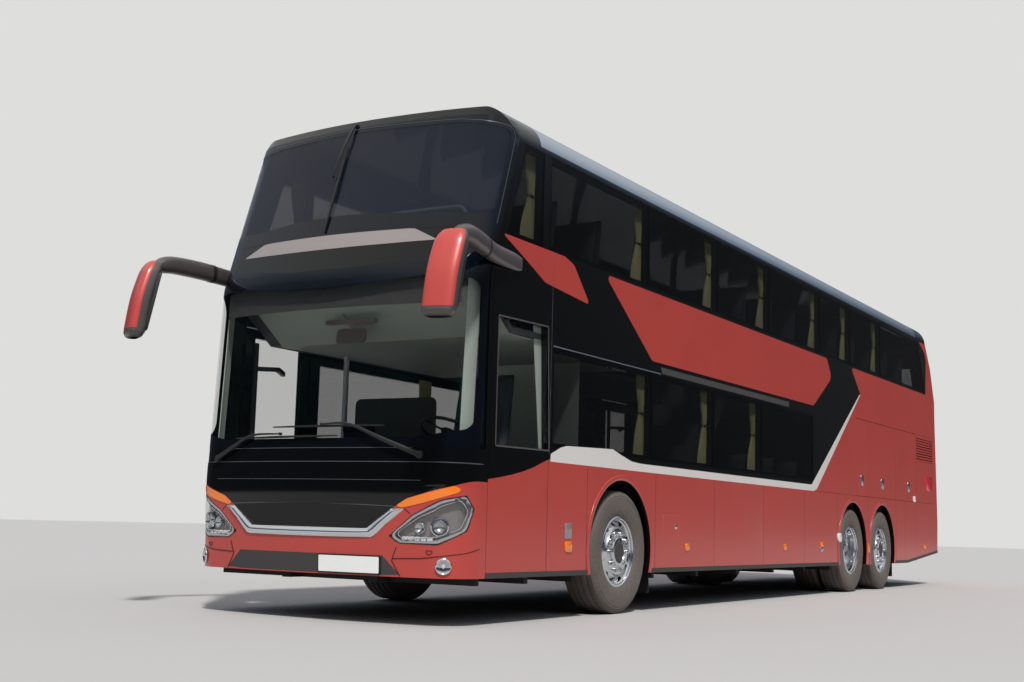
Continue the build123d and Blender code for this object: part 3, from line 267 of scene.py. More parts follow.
def half_width(z):
    """Half the body's width at each height: upright side, then the eaves arc, then the crown arc."""
    rise = np.clip(np.asarray(z) - EAVES_Z, 0, None)
    eaves = EAVES_Y + np.sqrt(np.clip(EAVES_R**2 - rise**2, 0, None))
    crown = np.sqrt(np.clip(CROWN_R**2 - (np.asarray(z) - HEIGHT + CROWN_R) ** 2, 0, None))
    return np.where(rise < EAVES_R * math.cos(CROWN_TURN), eaves, crown)


def on_body(run, z, lift=0.0):
    """Points on the body's skin. run is the way along the plan outline from the front's centre, positive to
    the left: first round the large front arc, then round the corner arc, then straight back along the side.
    The plan is moved back with height by the front's rake, and nothing is wider than the eaves allow. Each
    point is then moved outwards along the skin's normal by lift."""
    run, z = np.broadcast_arrays(np.asarray(run, float), np.asarray(z, float))
    way, side = np.abs(run), np.where(run < 0, -1.0, 1.0)
    turn = np.where(way < ARC_RUN, way / FRONT_ARC_R, CORNER_TURN + (way - ARC_RUN) / CORNER_R)
    turn = np.minimum(turn, math.pi / 2)
    front = front_at(z)
    corner_x = front - FRONT_ARC_R + (FRONT_ARC_R - CORNER_R) * math.cos(CORNER_TURN)
    on_arc = way < ARC_RUN
    x = np.where(on_arc, front - FRONT_ARC_R + FRONT_ARC_R * np.cos(turn), corner_x + CORNER_R * np.cos(turn))
    y = np.where(on_arc, FRONT_ARC_R * np.sin(turn), SIDE_Y - CORNER_R + CORNER_R * np.sin(turn))
    x = x - np.clip(way - ARC_RUN - CORNER_RUN, 0, None)
    limit = half_width(z)
    clipped = (y > limit) | ((z > EAVES_Z) & (turn >= math.pi / 2))
    y = np.minimum(y, limit)
    slope = (front_at(z - 0.01) - front_at(z + 0.01)) / 0.02
    nx, ny, nz = np.cos(turn), np.sin(turn), slope * np.cos(turn)
    nx = np.where(clipped, 0.0, nx)
    ny = np.where(clipped, np.clip((y - EAVES_Y) / EAVES_R, 0, 1), ny)
    nz = np.where(clipped, np.clip((z - EAVES_Z) / EAVES_R, 0, 1), nz)
    size = np.sqrt(nx**2 + ny**2 + nz**2)
    return np.stack([x + lift * nx / size, side * (y + lift * ny / size), z + lift * nz / size], axis=-1)


# meshes
def build(name, points, faces, material, body="coach_body", replaces=(), smooth=35):
    """One piece from its points and faces, shaded smooth up to an angle, riding on a body."""
    mesh = bpy.data.meshes.new(name)
    mesh.from_pydata(np.asarray(points, float).reshape(-1, 3), [], [tuple(f) for f in faces])
    mesh.validate()
    mesh.shade_smooth()
    mesh.set_sharp_from_angle(angle=math.radians(smooth))
    made = bpy.data.objects.new(name, mesh)
    bpy.context.scene.collection.objects.link(made)
    mesh.materials.append(MATERIALS[material])
    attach(made, body)
    if replaces:
        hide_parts(*replaces)
    return made


def joined(shapes):
    """Several shapes, each a pair of points and faces, as one pair."""
    points, faces, base = [], [], 0
    for some, theirs in shapes:
        some = np.asarray(some, float).reshape(-1, 3)
        points.append(some)
        faces += [[base + k for k in face] for face in theirs]
        base += len(some)
    return np.concatenate(points), faces


def grid_faces(rows, columns, wrap_rows=False, wrap_columns=False):
    """Quads of a grid of rows by columns of points, joined round where it wraps."""
    r = np.arange(rows if wrap_rows else rows - 1)
    c = np.arange(columns if wrap_columns else columns - 1)
    r, c = np.meshgrid(r, c, indexing="ij")
    r2, c2 = (r + 1) % rows, (c + 1) % columns
    quads = np.stack([r * columns + c, r * columns + c2, r2 * columns + c2, r2 * columns + c], axis=-1)
    return quads.reshape(-1, 4).tolist()


def facing_out(points, faces):
    """Turns every face of a closed shape round if its volume comes out negative."""
    points = np.asarray(points, float).reshape(-1, 3)
    total = 0.0
    for face in faces:
        a = points[face[0]]
        for k in range(1, len(face) - 1):
            total += np.dot(a, np.cross(points[face[k]], points[face[k + 1]]))
    return points, faces if total > 0 else [face[::-1] for face in faces]


def lofted(rings, closed=False):
    """A closed skin through rings of points: ends capped, or the last ring joined to the first."""
    rings = np.asarray(rings, float)
    n, m = rings.shape[:2]
    faces = grid_faces(n, m, wrap_rows=closed, wrap_columns=True)
    if not closed:
        faces += [list(range(m))[::-1], list(range((n - 1) * m, n * m))]
    return facing_out(rings.reshape(-1, 3), faces)


def turned(profile, count, centre, axis="y", side=1):
    """A closed profile of distances along the axis and radii, carried round the axis in equal steps."""
    profile = np.asarray(profile, float)
    angle = 2 * math.pi * np.arange(count) / count
    out, radius = profile[:, 0][None, :], profile[:, 1][None, :]
    c, s = np.cos(angle)[:, None], np.sin(angle)[:, None]
    a = np.broadcast_to(side * out, (count, len(profile)))
    if axis == "y":
        points = np.stack([radius * c, a, radius * s], axis=-1)
    elif axis == "x":
        points = np.stack([a, radius * c, radius * s], axis=-1)
    else:
        points = np.stack([radius * c, radius * s, a], axis=-1)
    return lofted(points + np.asarray(centre, float), closed=True)


def box_shape(low, high):
    """A plain block's points and faces, from its lowest and highest corners."""
    (x0, y0, z0), (x1, y1, z1) = low, high
    points = [(x, y, z) for x in (x0, x1) for y in (y0, y1) for z in (z0, z1)]
    faces = [(0, 1, 3, 2), (4, 6, 7, 5), (0, 4, 5, 1), (2, 3, 7, 6), (0, 2, 6, 4), (1, 5, 7, 3)]
    return np.array(points, float), [list(f) for f in faces]


def carried(section, path, closed=False, up=(0, 0, 1)):
    """A section of side and height offsets carried along a path of points, square to it, ends capped."""
    path = np.asarray(path, float)
    section = np.asarray(section, float)
    ahead = np.roll(path, -1, 0) - np.roll(path, 1, 0)
    if not closed:
        ahead[0], ahead[-1] = path[1] - path[0], path[-1] - path[-2]
    ahead /= np.linalg.norm(ahead, axis=1)[:, None]
    across = np.cross(ahead, np.asarray(up, float))
    across /= np.linalg.norm(across, axis=1)[:, None]
    over = np.cross(across, ahead)
    points = path[:, None, :] + section[None, :, :1] * across[:, None, :] + section[None, :, 1:] * over[:, None, :]
    return lofted(points, closed)


def circle(radius, count):
    """A round section."""
    angle = 2 * math.pi * np.arange(count) / count
    return np.stack([radius * np.cos(angle), radius * np.sin(angle)], axis=-1)


def oval(power, count):
    """A rounded rectangle of half size 1 as a superellipse: each of sine and cosine raised to 2 over the power."""
    return bent_oval(np.linspace(0, 2 * math.pi, count, endpoint=False), power)


def bent_oval(angle, power):
    """The part of such a rounded rectangle that lies at the given angles."""
    c, s = np.cos(angle), np.sin(angle)
    return np.sign(c) * np.abs(c) ** (2 / power), np.sign(s) * np.abs(s) ** (2 / power)


def catmull_rom(a, b, c, d, f):
    """The smooth curve from b to c at the share f of the way, with a before them and d after."""
    return 0.5 * (2 * b + (c - a) * f + (2 * a - 5 * b + 4 * c - d) * f**2 + (3 * b - 3 * c + d - a) * f**3)


def curve_through(table, count):
    """Rows of a table joined by a smooth curve through them all, sampled evenly."""
    table = np.asarray(table, float)
    padded = np.concatenate([2 * table[:1] - table[1:2], table, 2 * table[-1:] - table[-2:-1]])
    t = np.linspace(0, len(table) - 1 - 1e-9, count)
    k = t.astype(int)
    return catmull_rom(*(padded[k + i] for i in range(4)), (t - k)[:, None])


def closed_curve(points, count):
    """A closed smooth curve through an outline's points, sampled evenly."""
    points = np.asarray(points, float)
    t = np.arange(count) * len(points) / count
    k = t.astype(int)
    return catmull_rom(*(points[(k + i) % len(points)] for i in (-1, 0, 1, 2)), (t % 1)[:, None])


def back_to_start(path):
    """A path with its first point again at its end."""
    return np.concatenate([path, path[:1]])


def rounded(points, radius, steps=5):
    """A closed outline with each corner replaced by an arc tangent to its two sides."""
    points = np.asarray(points, float)
    radii = np.broadcast_to(np.asarray(radius, float), (len(points),))
    out = []
    for k, corner in enumerate(points):
        before, after = points[k - 1] - corner, points[(k + 1) % len(points)] - corner
        la, lb = np.linalg.norm(before), np.linalg.norm(after)
        before, after = before / la, after / lb
        half = math.acos(np.clip(np.dot(before, after), -1, 1)) / 2
        r = min(radii[k], 0.49 * min(la, lb) * math.tan(half))
        if r < 1e-5:
            out.append(corner[None, :])
            continue
        start, end = corner + before * r / math.tan(half), corner + after * r / math.tan(half)
        middle = corner + (before + after) / np.linalg.norm(before + after) * r / math.sin(half)
        a0 = math.atan2(*(start - middle)[::-1])
        a1 = math.atan2(*(end - middle)[::-1])
        sweep = (a1 - a0 + math.pi) % (2 * math.pi) - math.pi
        angle = a0 + sweep * np.linspace(0, 1, steps + 1)
        out.append(middle + r * np.stack([np.cos(angle), np.sin(angle)], axis=-1))
    return np.concatenate(out)


def cut_flat(zones, lines=()):
    """Cuts the plane along every zone's outline and the given lines into triangles, and gives each triangle
    to the last zone that holds it. Returns a pair of flat points and triangles for each zone's name."""
    points, edges, faces, owner = [], [], [], []
    for index, (_, outlines) in enumerate(zones):
        for outline in outlines:
            base = len(points)
            a, b = np.asarray(outline, float).T
            step = 1 if np.sum(a * np.roll(b, -1) - b * np.roll(a, -1)) > 0 else -1
            points += [Vector(pair) for pair in np.stack([a, b], axis=-1)[::step].tolist()]
            faces.append(list(range(base, base + len(outline))))
            owner.append(index)
    for start, end in lines:
        base = len(points)
        points += [Vector(start), Vector(end)]
        edges.append((base, base + 1))
    flat, _, triangles, _, _, origins = delaunay_2d_cdt(points, edges, faces, 0, 1e-7)
    flat = np.array([(p.x, p.y) for p in flat])
    chosen = {}
    for triangle, held in zip(triangles, origins):
        if held:
            chosen.setdefault(zones[max(owner[k] for k in held)][0], []).append(triangle)
    result = {}
    for name, theirs in chosen.items():
        used, packed = np.unique(np.array(theirs), return_inverse=True)
        result[name] = (flat[used], packed.reshape(-1, 3).tolist())
    return result


def cut_one(outline, lines=()):
    """One outline's flat points and triangles."""
    return cut_flat([("piece", [outline])], lines)["piece"]


def on_side(flat, side, lift):
    """Points on one side of the body from places behind the front and heights, moved outwards by lift."""
    flat = np.asarray(flat, float)
    return np.stack([FRONT_X - flat[:, 0], np.full(len(flat), side * (SIDE_Y + lift)), flat[:, 1]], axis=-1)


def plate(top, bottom, triangles):
    """A thin closed plate between an upper and a lower layer of the same points, its open edges walled."""
    count = len(top)
    tri = np.asarray(triangles)
    sides = np.concatenate([tri[:, [0, 1]], tri[:, [1, 2]], tri[:, [2, 0]]])
    keys = np.sort(sides, axis=1)
    _, where, times = np.unique(keys, axis=0, return_index=True, return_counts=True)
    rim = sides[where[times == 1]]
    faces = tri.tolist() + (tri[:, ::-1] + count).tolist()
    faces += [[a + count, b + count, b, a] for a, b in rim]
    faces = [face[::-1] for face in faces]
    return facing_out(np.concatenate([top, bottom]), faces)


def side_sheet(flat, triangles, side, lift=0.0012, thick=0.001):
    """A flat sheet of film or lacquer on one side of the body, from places behind the front and heights."""
    return plate(on_side(flat, side, lift), on_side(flat, side, lift - thick), triangles)


def front_sheet(flat, triangles, lift, thick):
    """A sheet that follows the body's front, from ways along the plan outline and heights."""
    top, bottom = (on_body(flat[:, 0], flat[:, 1], out) for out in (lift, lift - thick))
    return plate(top, bottom, triangles)


# what the side looks like
# Outlines on the side, each point as the distance behind the front and the height, in metres.
DRIVER_SWOOSH = [(1.438, 1.262), (1.321, 1.229), (1.198, 1.188), (1.033, 1.145), (0.857, 1.111), (0.687, 1.084)]
RED_A = [(0.615, 2.924), (1.600, 2.922), (1.760, 2.880), (2.052, 2.589), (1.290, 2.652), (1.042, 2.756)]
RED_B = [(2.316, 2.902), (3.290, 2.262), (7.850, 2.262), (8.560, 2.676), (8.360, 2.902)]
GREY_STRIP = [(3.482, 2.226), (6.979, 2.226), (6.979, 2.168), (3.510, 2.168)]
WHITE_STRIPE = [(1.438, 1.240), (1.438, 1.300), (1.600, 1.360), (1.700, 1.380), (2.520, 1.404), (2.700, 1.360)]
WHITE_STRIPE += [(2.900, 1.318), (3.100, 1.309), (7.770, 1.309), (9.715, 2.566), (9.790, 2.590), (7.960, 1.262)]
WHITE_STRIPE += [(7.860, 1.236)]
# Shut lines below the belt, as distances behind the front, and their width.
SEAMS_LOW = (2.069, 3.400, 4.780, 6.154, 7.510, 8.745, 10.102, 11.447, 11.934, 12.523)
SEAM = 0.006


def band(b0, b1, z0, z1):
    """A rectangle's outline."""
    return [(b0, z0), (b1, z0), (b1, z1), (b0, z1)]


def hole_in(pane, inset, radius):
    """A pane's outline drawn in and rounded."""
    pane = np.asarray(pane, float)
    middle = pane.mean(axis=0)
    return rounded(pane + np.where(pane > middle, -inset, inset), radius)


def seam_back(z):
    """Distance behind the front of the seam between the front's corner and the side."""
    lean = np.interp(z, FORM_Z, FORM_FRONT) - np.interp(2.56, FORM_Z, FORM_FRONT)
    return CORNER_SEAM + max(0.0, float(lean))


# Front and rear edge of each pane, and each row's lower and upper edge.
UPPER_PANES = ((0.680, 1.235), (1.335, 3.194), (3.200, 4.846), (4.852, 6.345))
UPPER_PANES += ((6.351, 8.110), (8.116, 9.340), (9.346, 10.740), (10.746, 13.190))
UPPER_EDGES = (2.925, 3.694)
LOWER_PANES = ((1.440, 3.300), (3.306, 4.760), (4.766, 6.110), (6.116, 7.820))
LOWER_EDGES = (1.350, 2.150)
LAST_PANE_LEAN = 0.420  # how far the last pane's rear edge leans ahead up to its top
DRIVER_PANE = [(0.578, 1.284), (1.437, 1.294), (1.387, 2.335), (0.578, 2.319)]
DOORS = (("front", 0.590, 1.450), ("rear", 7.120, 7.980))
DOOR_POST = 0.084
DOOR_TOP = 2.335
FLAPS = ((9.561, 10.102), (10.102, 11.441), (11.441, 12.538))
TAIL_START = 12.045  # where the skirt starts to rise to the tail
TAIL_RISE = 0.150  # how far it would rise up to the rear
# Front, rear, lower and upper edge of the engine's vent.
VENT = (12.608, 13.570, 1.860, 2.205)
VENT_BLADES = 9
BLADE_HIGH = 0.024
BLADE_LEAN = 0.12  # way outwards per metre down


def side_zones(side):
    """Every zone of one side, later ones lying over earlier ones, and the openings left in them."""
    gap = SEAM / 2
    front = [(seam_back(z) + gap, z) for z in (2.56, 2.842, EAVES_Z)]
    rear = [(LENGTH - REAR_SEAM - np.interp(z, FORM_Z, FORM_REAR) - gap, z) for z in (EAVES_Z, 3.346, 2.842)]
    tail_b = rear[-1][0]
    tail_low = SKIRT_Z + TAIL_RISE * (tail_b + gap - TAIL_START) / (LENGTH - TAIL_START)
    outline = [(seam_back(0.3) + gap, SKIRT_Z)] + front + rear + [(tail_b, tail_low), (TAIL_START, SKIRT_Z)]
    black = [(seam_back(1.0) + gap, 1.063)] + front
    black += [(12.860, EAVES_Z), (13.180, 3.560), (13.262, 3.450), (13.210, 2.912), (9.450, 2.902), (9.411, 2.871)]
    black += [(9.770, 2.586), (7.860, 1.260), (2.900, 1.280)] + DRIVER_SWOOSH
    low, high = UPPER_EDGES
    panes = [band(f, r, low, high) for f, r in UPPER_PANES]
    lean = float(np.interp(high, FORM_Z, FORM_FRONT) - np.interp(low, FORM_Z, FORM_FRONT))
    panes[0][3] = (panes[0][3][0] + lean, high)
    panes[-1][2] = (panes[-1][2][0] - LAST_PANE_LEAN, high)
    lower = [list(p) for p in LOWER_PANES]
    if side < 0:
        lower[0][0] = DOORS[0][2] + DOOR_POST
        lower[-1][1] = DOORS[1][1] - DOOR_POST
    panes += [band(f, r, *LOWER_EDGES) for f, r in lower]
    if side > 0:
        panes.append(DRIVER_PANE)
    # Shut lines below the belt, round the flaps and by the vent: dark strips of painted shade for the gaps between
    # panels.
    seams = [band(b - SEAM / 2, b + SEAM / 2, SKIRT_Z, 1.236) for b in SEAMS_LOW]
    seams += [band(1.404 - SEAM / 2, 1.404 + SEAM / 2, SKIRT_Z, 1.262), band(7.86, 13.6, 1.2335, 1.2385)]
    seams += [band(9.561, 13.6, 2.2525, 2.2575), band(12.595, 12.600, 1.24, 2.25)]
    arches = [circle(ARCH_R, 96) + [FRONT_X - x - ARCH_AHEAD, ARCH_Z] for x in AXLE_X.values()]
    driver = len(UPPER_PANES) + len(LOWER_PANES)
    glazed = [hole_in(pane, 0.030 if index == driver else 0.003, 0.012) for index, pane in enumerate(panes)]
    holes = arches + [band(f + 0.001, r - 0.001, 1.235, 2.255) for f, r in FLAPS] + [band(*VENT)]
    if side < 0:
        holes += [band(f, r, 0.2, DOOR_TOP) for _, f, r in DOORS]
    return [
        ("red", [outline]),
        ("seam", seams),
        ("black", [black]),
        ("red", [rounded(RED_A, [0.01, 0.05, 0.08, 0.02, 0.12, 0.2]), rounded(RED_B, [0.03, 0.1, 0.12, 0.08, 0.08])]),
        ("grey", [GREY_STRIP]),
        ("glass", glazed),
        ("white", [rounded(WHITE_STRIPE, [0.0, 0.02, 0.1, 0.1, 0.12, 0.3, 0.3, 0.3, 0.12, 0.0, 0.0, 0.15, 0.15])]),
        ("hole", holes),
    ]


class ADD_OT_coach_sides(bpy.types.Operator):
    """Lacquer, black panels, stripe and shut lines of painted shade on both sides"""

    bl_idname = "coach.sides"
    bl_label = "Sides"

    def execute(self, context):
        looks = {
            "red": "coral red metallic lacquer",
            "seam": "shut line rubber",
            "black": "piano black acrylic",
            "grey": "dark grey moulded polypropylene",
            "white": "warm white vinyl film",
        }
        for hand, side in HANDS:
            for name, (flat, triangles) in cut_flat(side_zones(side)).items():
                if name in looks:
                    build(f"side_{name}_{hand}", *side_sheet(flat, triangles, side), looks[name], smooth=10)
        return {"FINISHED"}


# wheels
TREAD_R = 0.5295
TREAD_HALF = 0.154
GROOVES = (-0.084, -0.028, 0.028, 0.084)
GROOVE_DEPTH = 0.013


def tyre_profile():
    """Way across and radius round a tyre's section: bead, bulged wall, shoulder and a grooved, crowned tread."""
    wall = np.array([(0.118, 0.288), (0.132, 0.300), (0.146, 0.345), (0.1545, 0.400), (0.1535, 0.450)])
    ribs = [(0.1530, 0.462), (0.1545, 0.464), (0.1540, 0.469), (0.1510, 0.472), (0.1500, 0.482), (0.1512, 0.485)]
    wall = np.concatenate([wall, np.array(ribs + [(0.1490, 0.490), (0.141, 0.512), (0.128, 0.523)])])
    tread = []
    for middle in GROOVES:
        tread += [(middle + a, d) for a, d in zip((-0.008, -0.006, 0.006, 0.008), (0, -GROOVE_DEPTH, -GROOVE_DEPTH, 0))]
    top = [(a, TREAD_R - 0.10 * a * a / TREAD_HALF + d) for a, d in tread]
    return np.concatenate([wall * [-1, 1], np.array(top), wall[::-1]])


class ADD_OT_coach_tyres(bpy.types.Operator):
    """Tyres with bulged walls and circumferential grooves"""

    bl_idname = "coach.tyres"
    bl_label = "Tyres"

    def execute(self, context):
        profile = tyre_profile()
        for name, x in AXLE_X.items():
            for hand, side in HANDS:
                rings = []
                for inset in (0, TWIN_SPACING) if name == "drive" else (0,):
                    centre = (x, side * (WHEEL_Y - inset), AXLE_Z)
                    rings.append(turned(profile, 120, centre, side=side))
                wheel = f"{name}_{hand}"
                build(f"tread_{wheel}", *joined(rings), "tyre rubber", f"wheel_{wheel}", [f"tyre_{wheel}"])
        return {"FINISHED"}


# Sections of a wheel. The bulged and the sunk disc and the barrel: radius, place outwards from the wheel's middle.
BULGED = np.array([(0.118, 0.128), (0.196, 0.128), (0.203, 0.112), (0.218, 0.102), (0.250, 0.060), (0.264, 0.050)])
SUNK = np.array([(0.118, 0.004), (0.190, 0.004), (0.205, -0.004), (0.230, -0.006), (0.250, -0.002), (0.264, 0.002)])
BARREL = np.array(
    [(0.264, -0.10), (0.264, 0.080), (0.268, 0.108), (0.278, 0.118), (0.280, 0.134), (0.288, 0.140), (0.299, 0.137)]
)
# Hub ring, hub cap and a nut on its washer: place outwards from the disc's face, radius.
HUB_RING = np.array(
    [(-0.009, 0.0), (-0.009, 0.124), (0.010, 0.124), (0.018, 0.117), (0.020, 0.098), (0.012, 0.094), (0.012, 0.0)]
)
HUB_CAP = np.array([(0, 0), (0, 0.092), (0.016, 0.092), (0.020, 0.086), (0.022, 0.06), (0.019, 0.056), (0.019, 0.0)])
NUT = [(0, 0.0), (0, 0.023), (0.004, 0.023), (0.004, 0.0185), (0.028, 0.0175), (0.031, 0.011)]
NUT += [(0.040, 0.010), (0.042, 0)]
NUT_CIRCLE_R = 0.160
DISC_R = 0.264
DISC_THICK = 0.014
# Hand holes in the disc: radius of their middles, half their way outwards and half their width.
HAND_HOLE = (0.233, 0.019, 0.027)
HOLE_COUNT = NUT_COUNT = 10


def disc_with_holes(section, side, centre):
    """A wheel's disc: a ring cut flat with oval hand holes, then each point pushed out along the axle by the
    section's height at its distance from the centre."""
    inner = [circle(0.110, 90)]
    small = 2 * math.pi * np.arange(20) / 20
    middle, half_way, half_wide = HAND_HOLE
    along, across = middle + half_way * np.cos(small), half_wide * np.sin(small)
    for k in range(HOLE_COUNT):
        turn = 2 * math.pi * (k + 0.5) / HOLE_COUNT
        c, s = math.cos(turn), math.sin(turn)
        inner.append(np.stack([along * c - across * s, along * s + across * c], axis=-1))
    steps = (DISC_R, 0.150, 0.190, 0.1965, 0.203, 0.210, 0.218, 0.225, 0.241, 0.250, 0.257)
    zones = [("disc", [circle(radius, 90)]) for radius in steps]
    flat, triangles = cut_flat(zones + [("hole", inner)])["disc"]
    out = np.interp(np.hypot(flat[:, 0], flat[:, 1]), section[:, 0], section[:, 1])
    top, bottom = (
        np.stack([flat[:, 0], side * place, flat[:, 1]], axis=-1) + np.asarray(centre)
        for place in (out, out - DISC_THICK)
    )
    return plate(top, bottom, triangles)


def wheel_nuts(out, side, centre):
    """Round nuts on washers with a stud in each, spread evenly round a circle on the disc's face."""
    spots = [centre + [x, side * out, z] for x, z in circle(NUT_CIRCLE_R, NUT_COUNT)]
    return [turned(NUT, 12, spot, side=side) for spot in spots]


class ADD_OT_coach_wheels(bpy.types.Operator):
    """Polished aluminium wheels with hand holes, nuts and hubs"""

    bl_idname = "coach.wheels"
    bl_label = "Wheels"

    def execute(self, context):
        for name, x in AXLE_X.items():
            for hand, side in HANDS:
                centre = np.array([x, side * WHEEL_Y, AXLE_Z])
                body = f"wheel_{name}_{hand}"
                section = SUNK if name == "drive" else BULGED
                face = section[0, 1]
                wall = np.concatenate([BARREL, BARREL[::-1] + [0.005, -0.004]])[:, ::-1]
                shapes = [turned(wall, 96, centre, side=side), disc_with_holes(section, side, centre)]
                if name == "drive":
                    inner = centre - [0, side * TWIN_SPACING, 0]
                    shapes.append(turned(wall * [-1, 1], 96, inner, side=side))
                bright = "polished forged aluminium"
                build(f"wheel_disc_{name}_{hand}", *joined(shapes), bright, body, [f"rim_{name}_{hand}"])
                nuts = wheel_nuts(face, side, centre)
                ring = turned(HUB_RING + [face, 0], 64, centre, side=side)
                build(f"hub_ring_{name}_{hand}", *joined([ring] + nuts), bright, body)
                cap = turned(HUB_CAP + [face, 0], 48, centre, side=side)
                build(f"hub_cap_{name}_{hand}", *cap, "dark grey moulded polypropylene", body)
        return {"FINISHED"}


# small things on the side
def side_relief(outline, side, proud):
    """A low raised form on the side: the outline's foot 3.5 mm in the wall, then its top drawn in by the edge."""
    edge = 0.004
    outline = np.asarray(outline, float)
    middle = outline.mean(axis=0)
    step = outline - middle
    size = np.linalg.norm(step, axis=1)[:, None]
    inner = middle + step * (size - edge) / size
    rings = ((outline, -0.0035), (outline, proud - edge / 2), (inner, proud))
    return lofted([on_side(flat, side, out) for flat, out in rings])


def side_line(path, side, width, proud=0.004):
    """A thin bead laid along a path on the side."""
    section = rounded(band(-width / 2, width / 2, -0.001, proud), proud * 0.4, 2)
    if side > 0:
        section = section * [-1, 1]
    return carried(section, on_side(path, side, 0.0), up=(0, side, 0))


# Columns: finish, middle behind the front, height, width, height of the form, corner radius, how far proud.
SIDE_FITTINGS = (
    ("amber polycarbonate", 1.757, 0.573, 0.110, 0.085, 0.020, 0.010),
    ("taupe metallic lacquer", 1.752, 0.699, 0.115, 0.125, 0.018, 0.006),
    ("amber polycarbonate", 4.116, 0.570, 0.085, 0.070, 0.015, 0.010),
    ("amber polycarbonate", 6.838, 0.570, 0.085, 0.070, 0.015, 0.010),
    ("amber polycarbonate", 8.140, 0.602, 0.110, 0.060, 0.012, 0.010),
    ("anodised aluminium", 8.140, 0.548, 0.110, 0.070, 0.025, 0.006),
    ("white polycarbonate", 8.830, 0.690, 0.150, 0.110, 0.045, 0.014),
    ("amber polycarbonate", 10.090, 0.560, 0.060, 0.130, 0.010, 0.010),
    ("anodised aluminium", 9.821, 1.445, 0.110, 0.150, 0.040, 0.008),
    ("anodised aluminium", 10.779, 1.437, 0.110, 0.150, 0.040, 0.008),
    ("anodised aluminium", 12.154, 1.445, 0.110, 0.150, 0.040, 0.008),
    ("white polycarbonate", 12.462, 1.276, 0.110, 0.085, 0.012, 0.012),
    ("red polycarbonate", 13.349, 1.537, 0.360, 0.225, 0.010, 0.006),
    ("amber polycarbonate", 13.022, 0.576, 0.090, 0.070, 0.012, 0.010),
)


class ADD_OT_coach_side_fittings(bpy.types.Operator):
    """Marker lamps, handles, lock flap, arch lips and trim lines"""

    bl_idname = "coach.side_fittings"
    bl_label = "Side fittings"

    def execute(self, context):
        for hand, side in HANDS:
            for k, (look, b, z, wide, high, radius, proud) in enumerate(SIDE_FITTINGS):
                outline = rounded(band(b - wide / 2, b + wide / 2, z - high / 2, z + high / 2), radius, 6)
                body = "coach_body"
                for index, (f, r) in enumerate(FLAPS):
                    if f < b < r and z > 1.3:
                        body = f"flap_{hand}_{index + 1}"
                if side < 0 and any(f - 0.1 < b < r + 0.1 for _, f, r in DOORS):
                    continue
                build(f"side_fitting_{hand}_{k}", *side_relief(outline, side, proud), look, body=body)
            lips, turn = [], np.radians(np.linspace(-19, 199, 73))
            for x in AXLE_X.values():
                b = FRONT_X - x - ARCH_AHEAD
                path = np.stack([b + LIP_R * np.cos(turn), ARCH_Z + LIP_R * np.sin(turn)], axis=-1)
                lips.append(side_line(path, side, 0.044, 0.0075))
            build(f"arch_lips_{hand}", *joined(lips), "coral red metallic lacquer", smooth=50)
            frame_line = rounded(band(3.566, 3.914, 0.661, 0.865), 0.03, 4)
            bead = side_line(back_to_start(frame_line), side, 0.005, 0.003)
            build(f"lock_flap_{hand}", *bead, "coral red edge highlight")
            lock = rounded(band(3.83, 3.875, 0.735, 0.785), 0.015, 4)
            build(f"lock_{hand}", *side_relief(lock, side, 0.006), "chrome plating")
            lines = [side_line([(1.44, 2.163), (3.48, 2.163)], side, 0.008, 0.004)]
            lines.append(side_line([(1.414, 1.30), (1.414, 2.90)], side, 0.005, 0.003))
            build(f"panel_lines_{hand}", *joined(lines), "anodised aluminium")
        return {"FINISHED"}


class ADD_OT_coach_flaps(bpy.types.Operator):
    """Lacquered skins of the side flaps and of the doors below their glass"""

    bl_idname = "coach.flaps"
    bl_label = "Flaps"

    def execute(self, context):
        for hand, side in HANDS:
            for index, (f, r) in enumerate(FLAPS):
                body = f"flap_{hand}_{index + 1}"
                skin = side_sheet(*cut_one(band(f + 0.005, r - 0.005, 1.2395, 2.2505)), side)
                build(f"flap_skin_{hand}_{index + 1}", *skin, "coral red metallic lacquer", body=body)
        for name, f, r in DOORS:
            skin = side_sheet(*cut_one(rounded(band(f + 0.015, r - 0.015, 0.362, 0.600), 0.01)), -1)
            build(f"door_skin_{name}", *skin, "coral red metallic lacquer", body=f"door_{name}")
        return {"FINISHED"}


# vents, sills and windows
class ADD_OT_coach_vents_and_sills(bpy.types.Operator):
    """Red blades of the engine vents and the dark rubbing strips along the sills"""

    bl_idname = "coach.vents_and_sills"
    bl_label = "Vents and sills"

    def execute(self, context):
        front, rear, low, high = VENT
        for hand, side in HANDS:
            blades = []
            pitch = (high - low) / VENT_BLADES
            for k in range(VENT_BLADES):
                z0 = low + pitch * k + 0.004
                z1 = z0 + BLADE_HIGH
                flat, triangles = cut_one(rounded(band(front + 0.004, rear - 0.004, z0, z1), 0.004, 3))
                top = on_side(flat, side, -0.002)
                top[:, 1] += side * BLADE_LEAN * (z1 - flat[:, 1])
                blades.append(plate(top, top - [0, side * 0.003, 0], triangles))
            build(f"vent_blades_{hand}", *joined(blades), "coral red metallic lacquer")
            strips = [band(*ends, 0.346, 0.386) for ends in ((0.520, 2.130), (3.282, 8.830), (11.332, TAIL_START))]
            strips.append([(TAIL_START, 0.347), (13.820, 0.485), (13.820, 0.523), (TAIL_START, 0.386)])
            pieces = [side_sheet(*cut_one(strip), side, 0.0026, 0.0022) for strip in strips]
            build(f"sill_strips_{hand}", *joined(pieces), "dark grey moulded polypropylene")
        return {"FINISHED"}


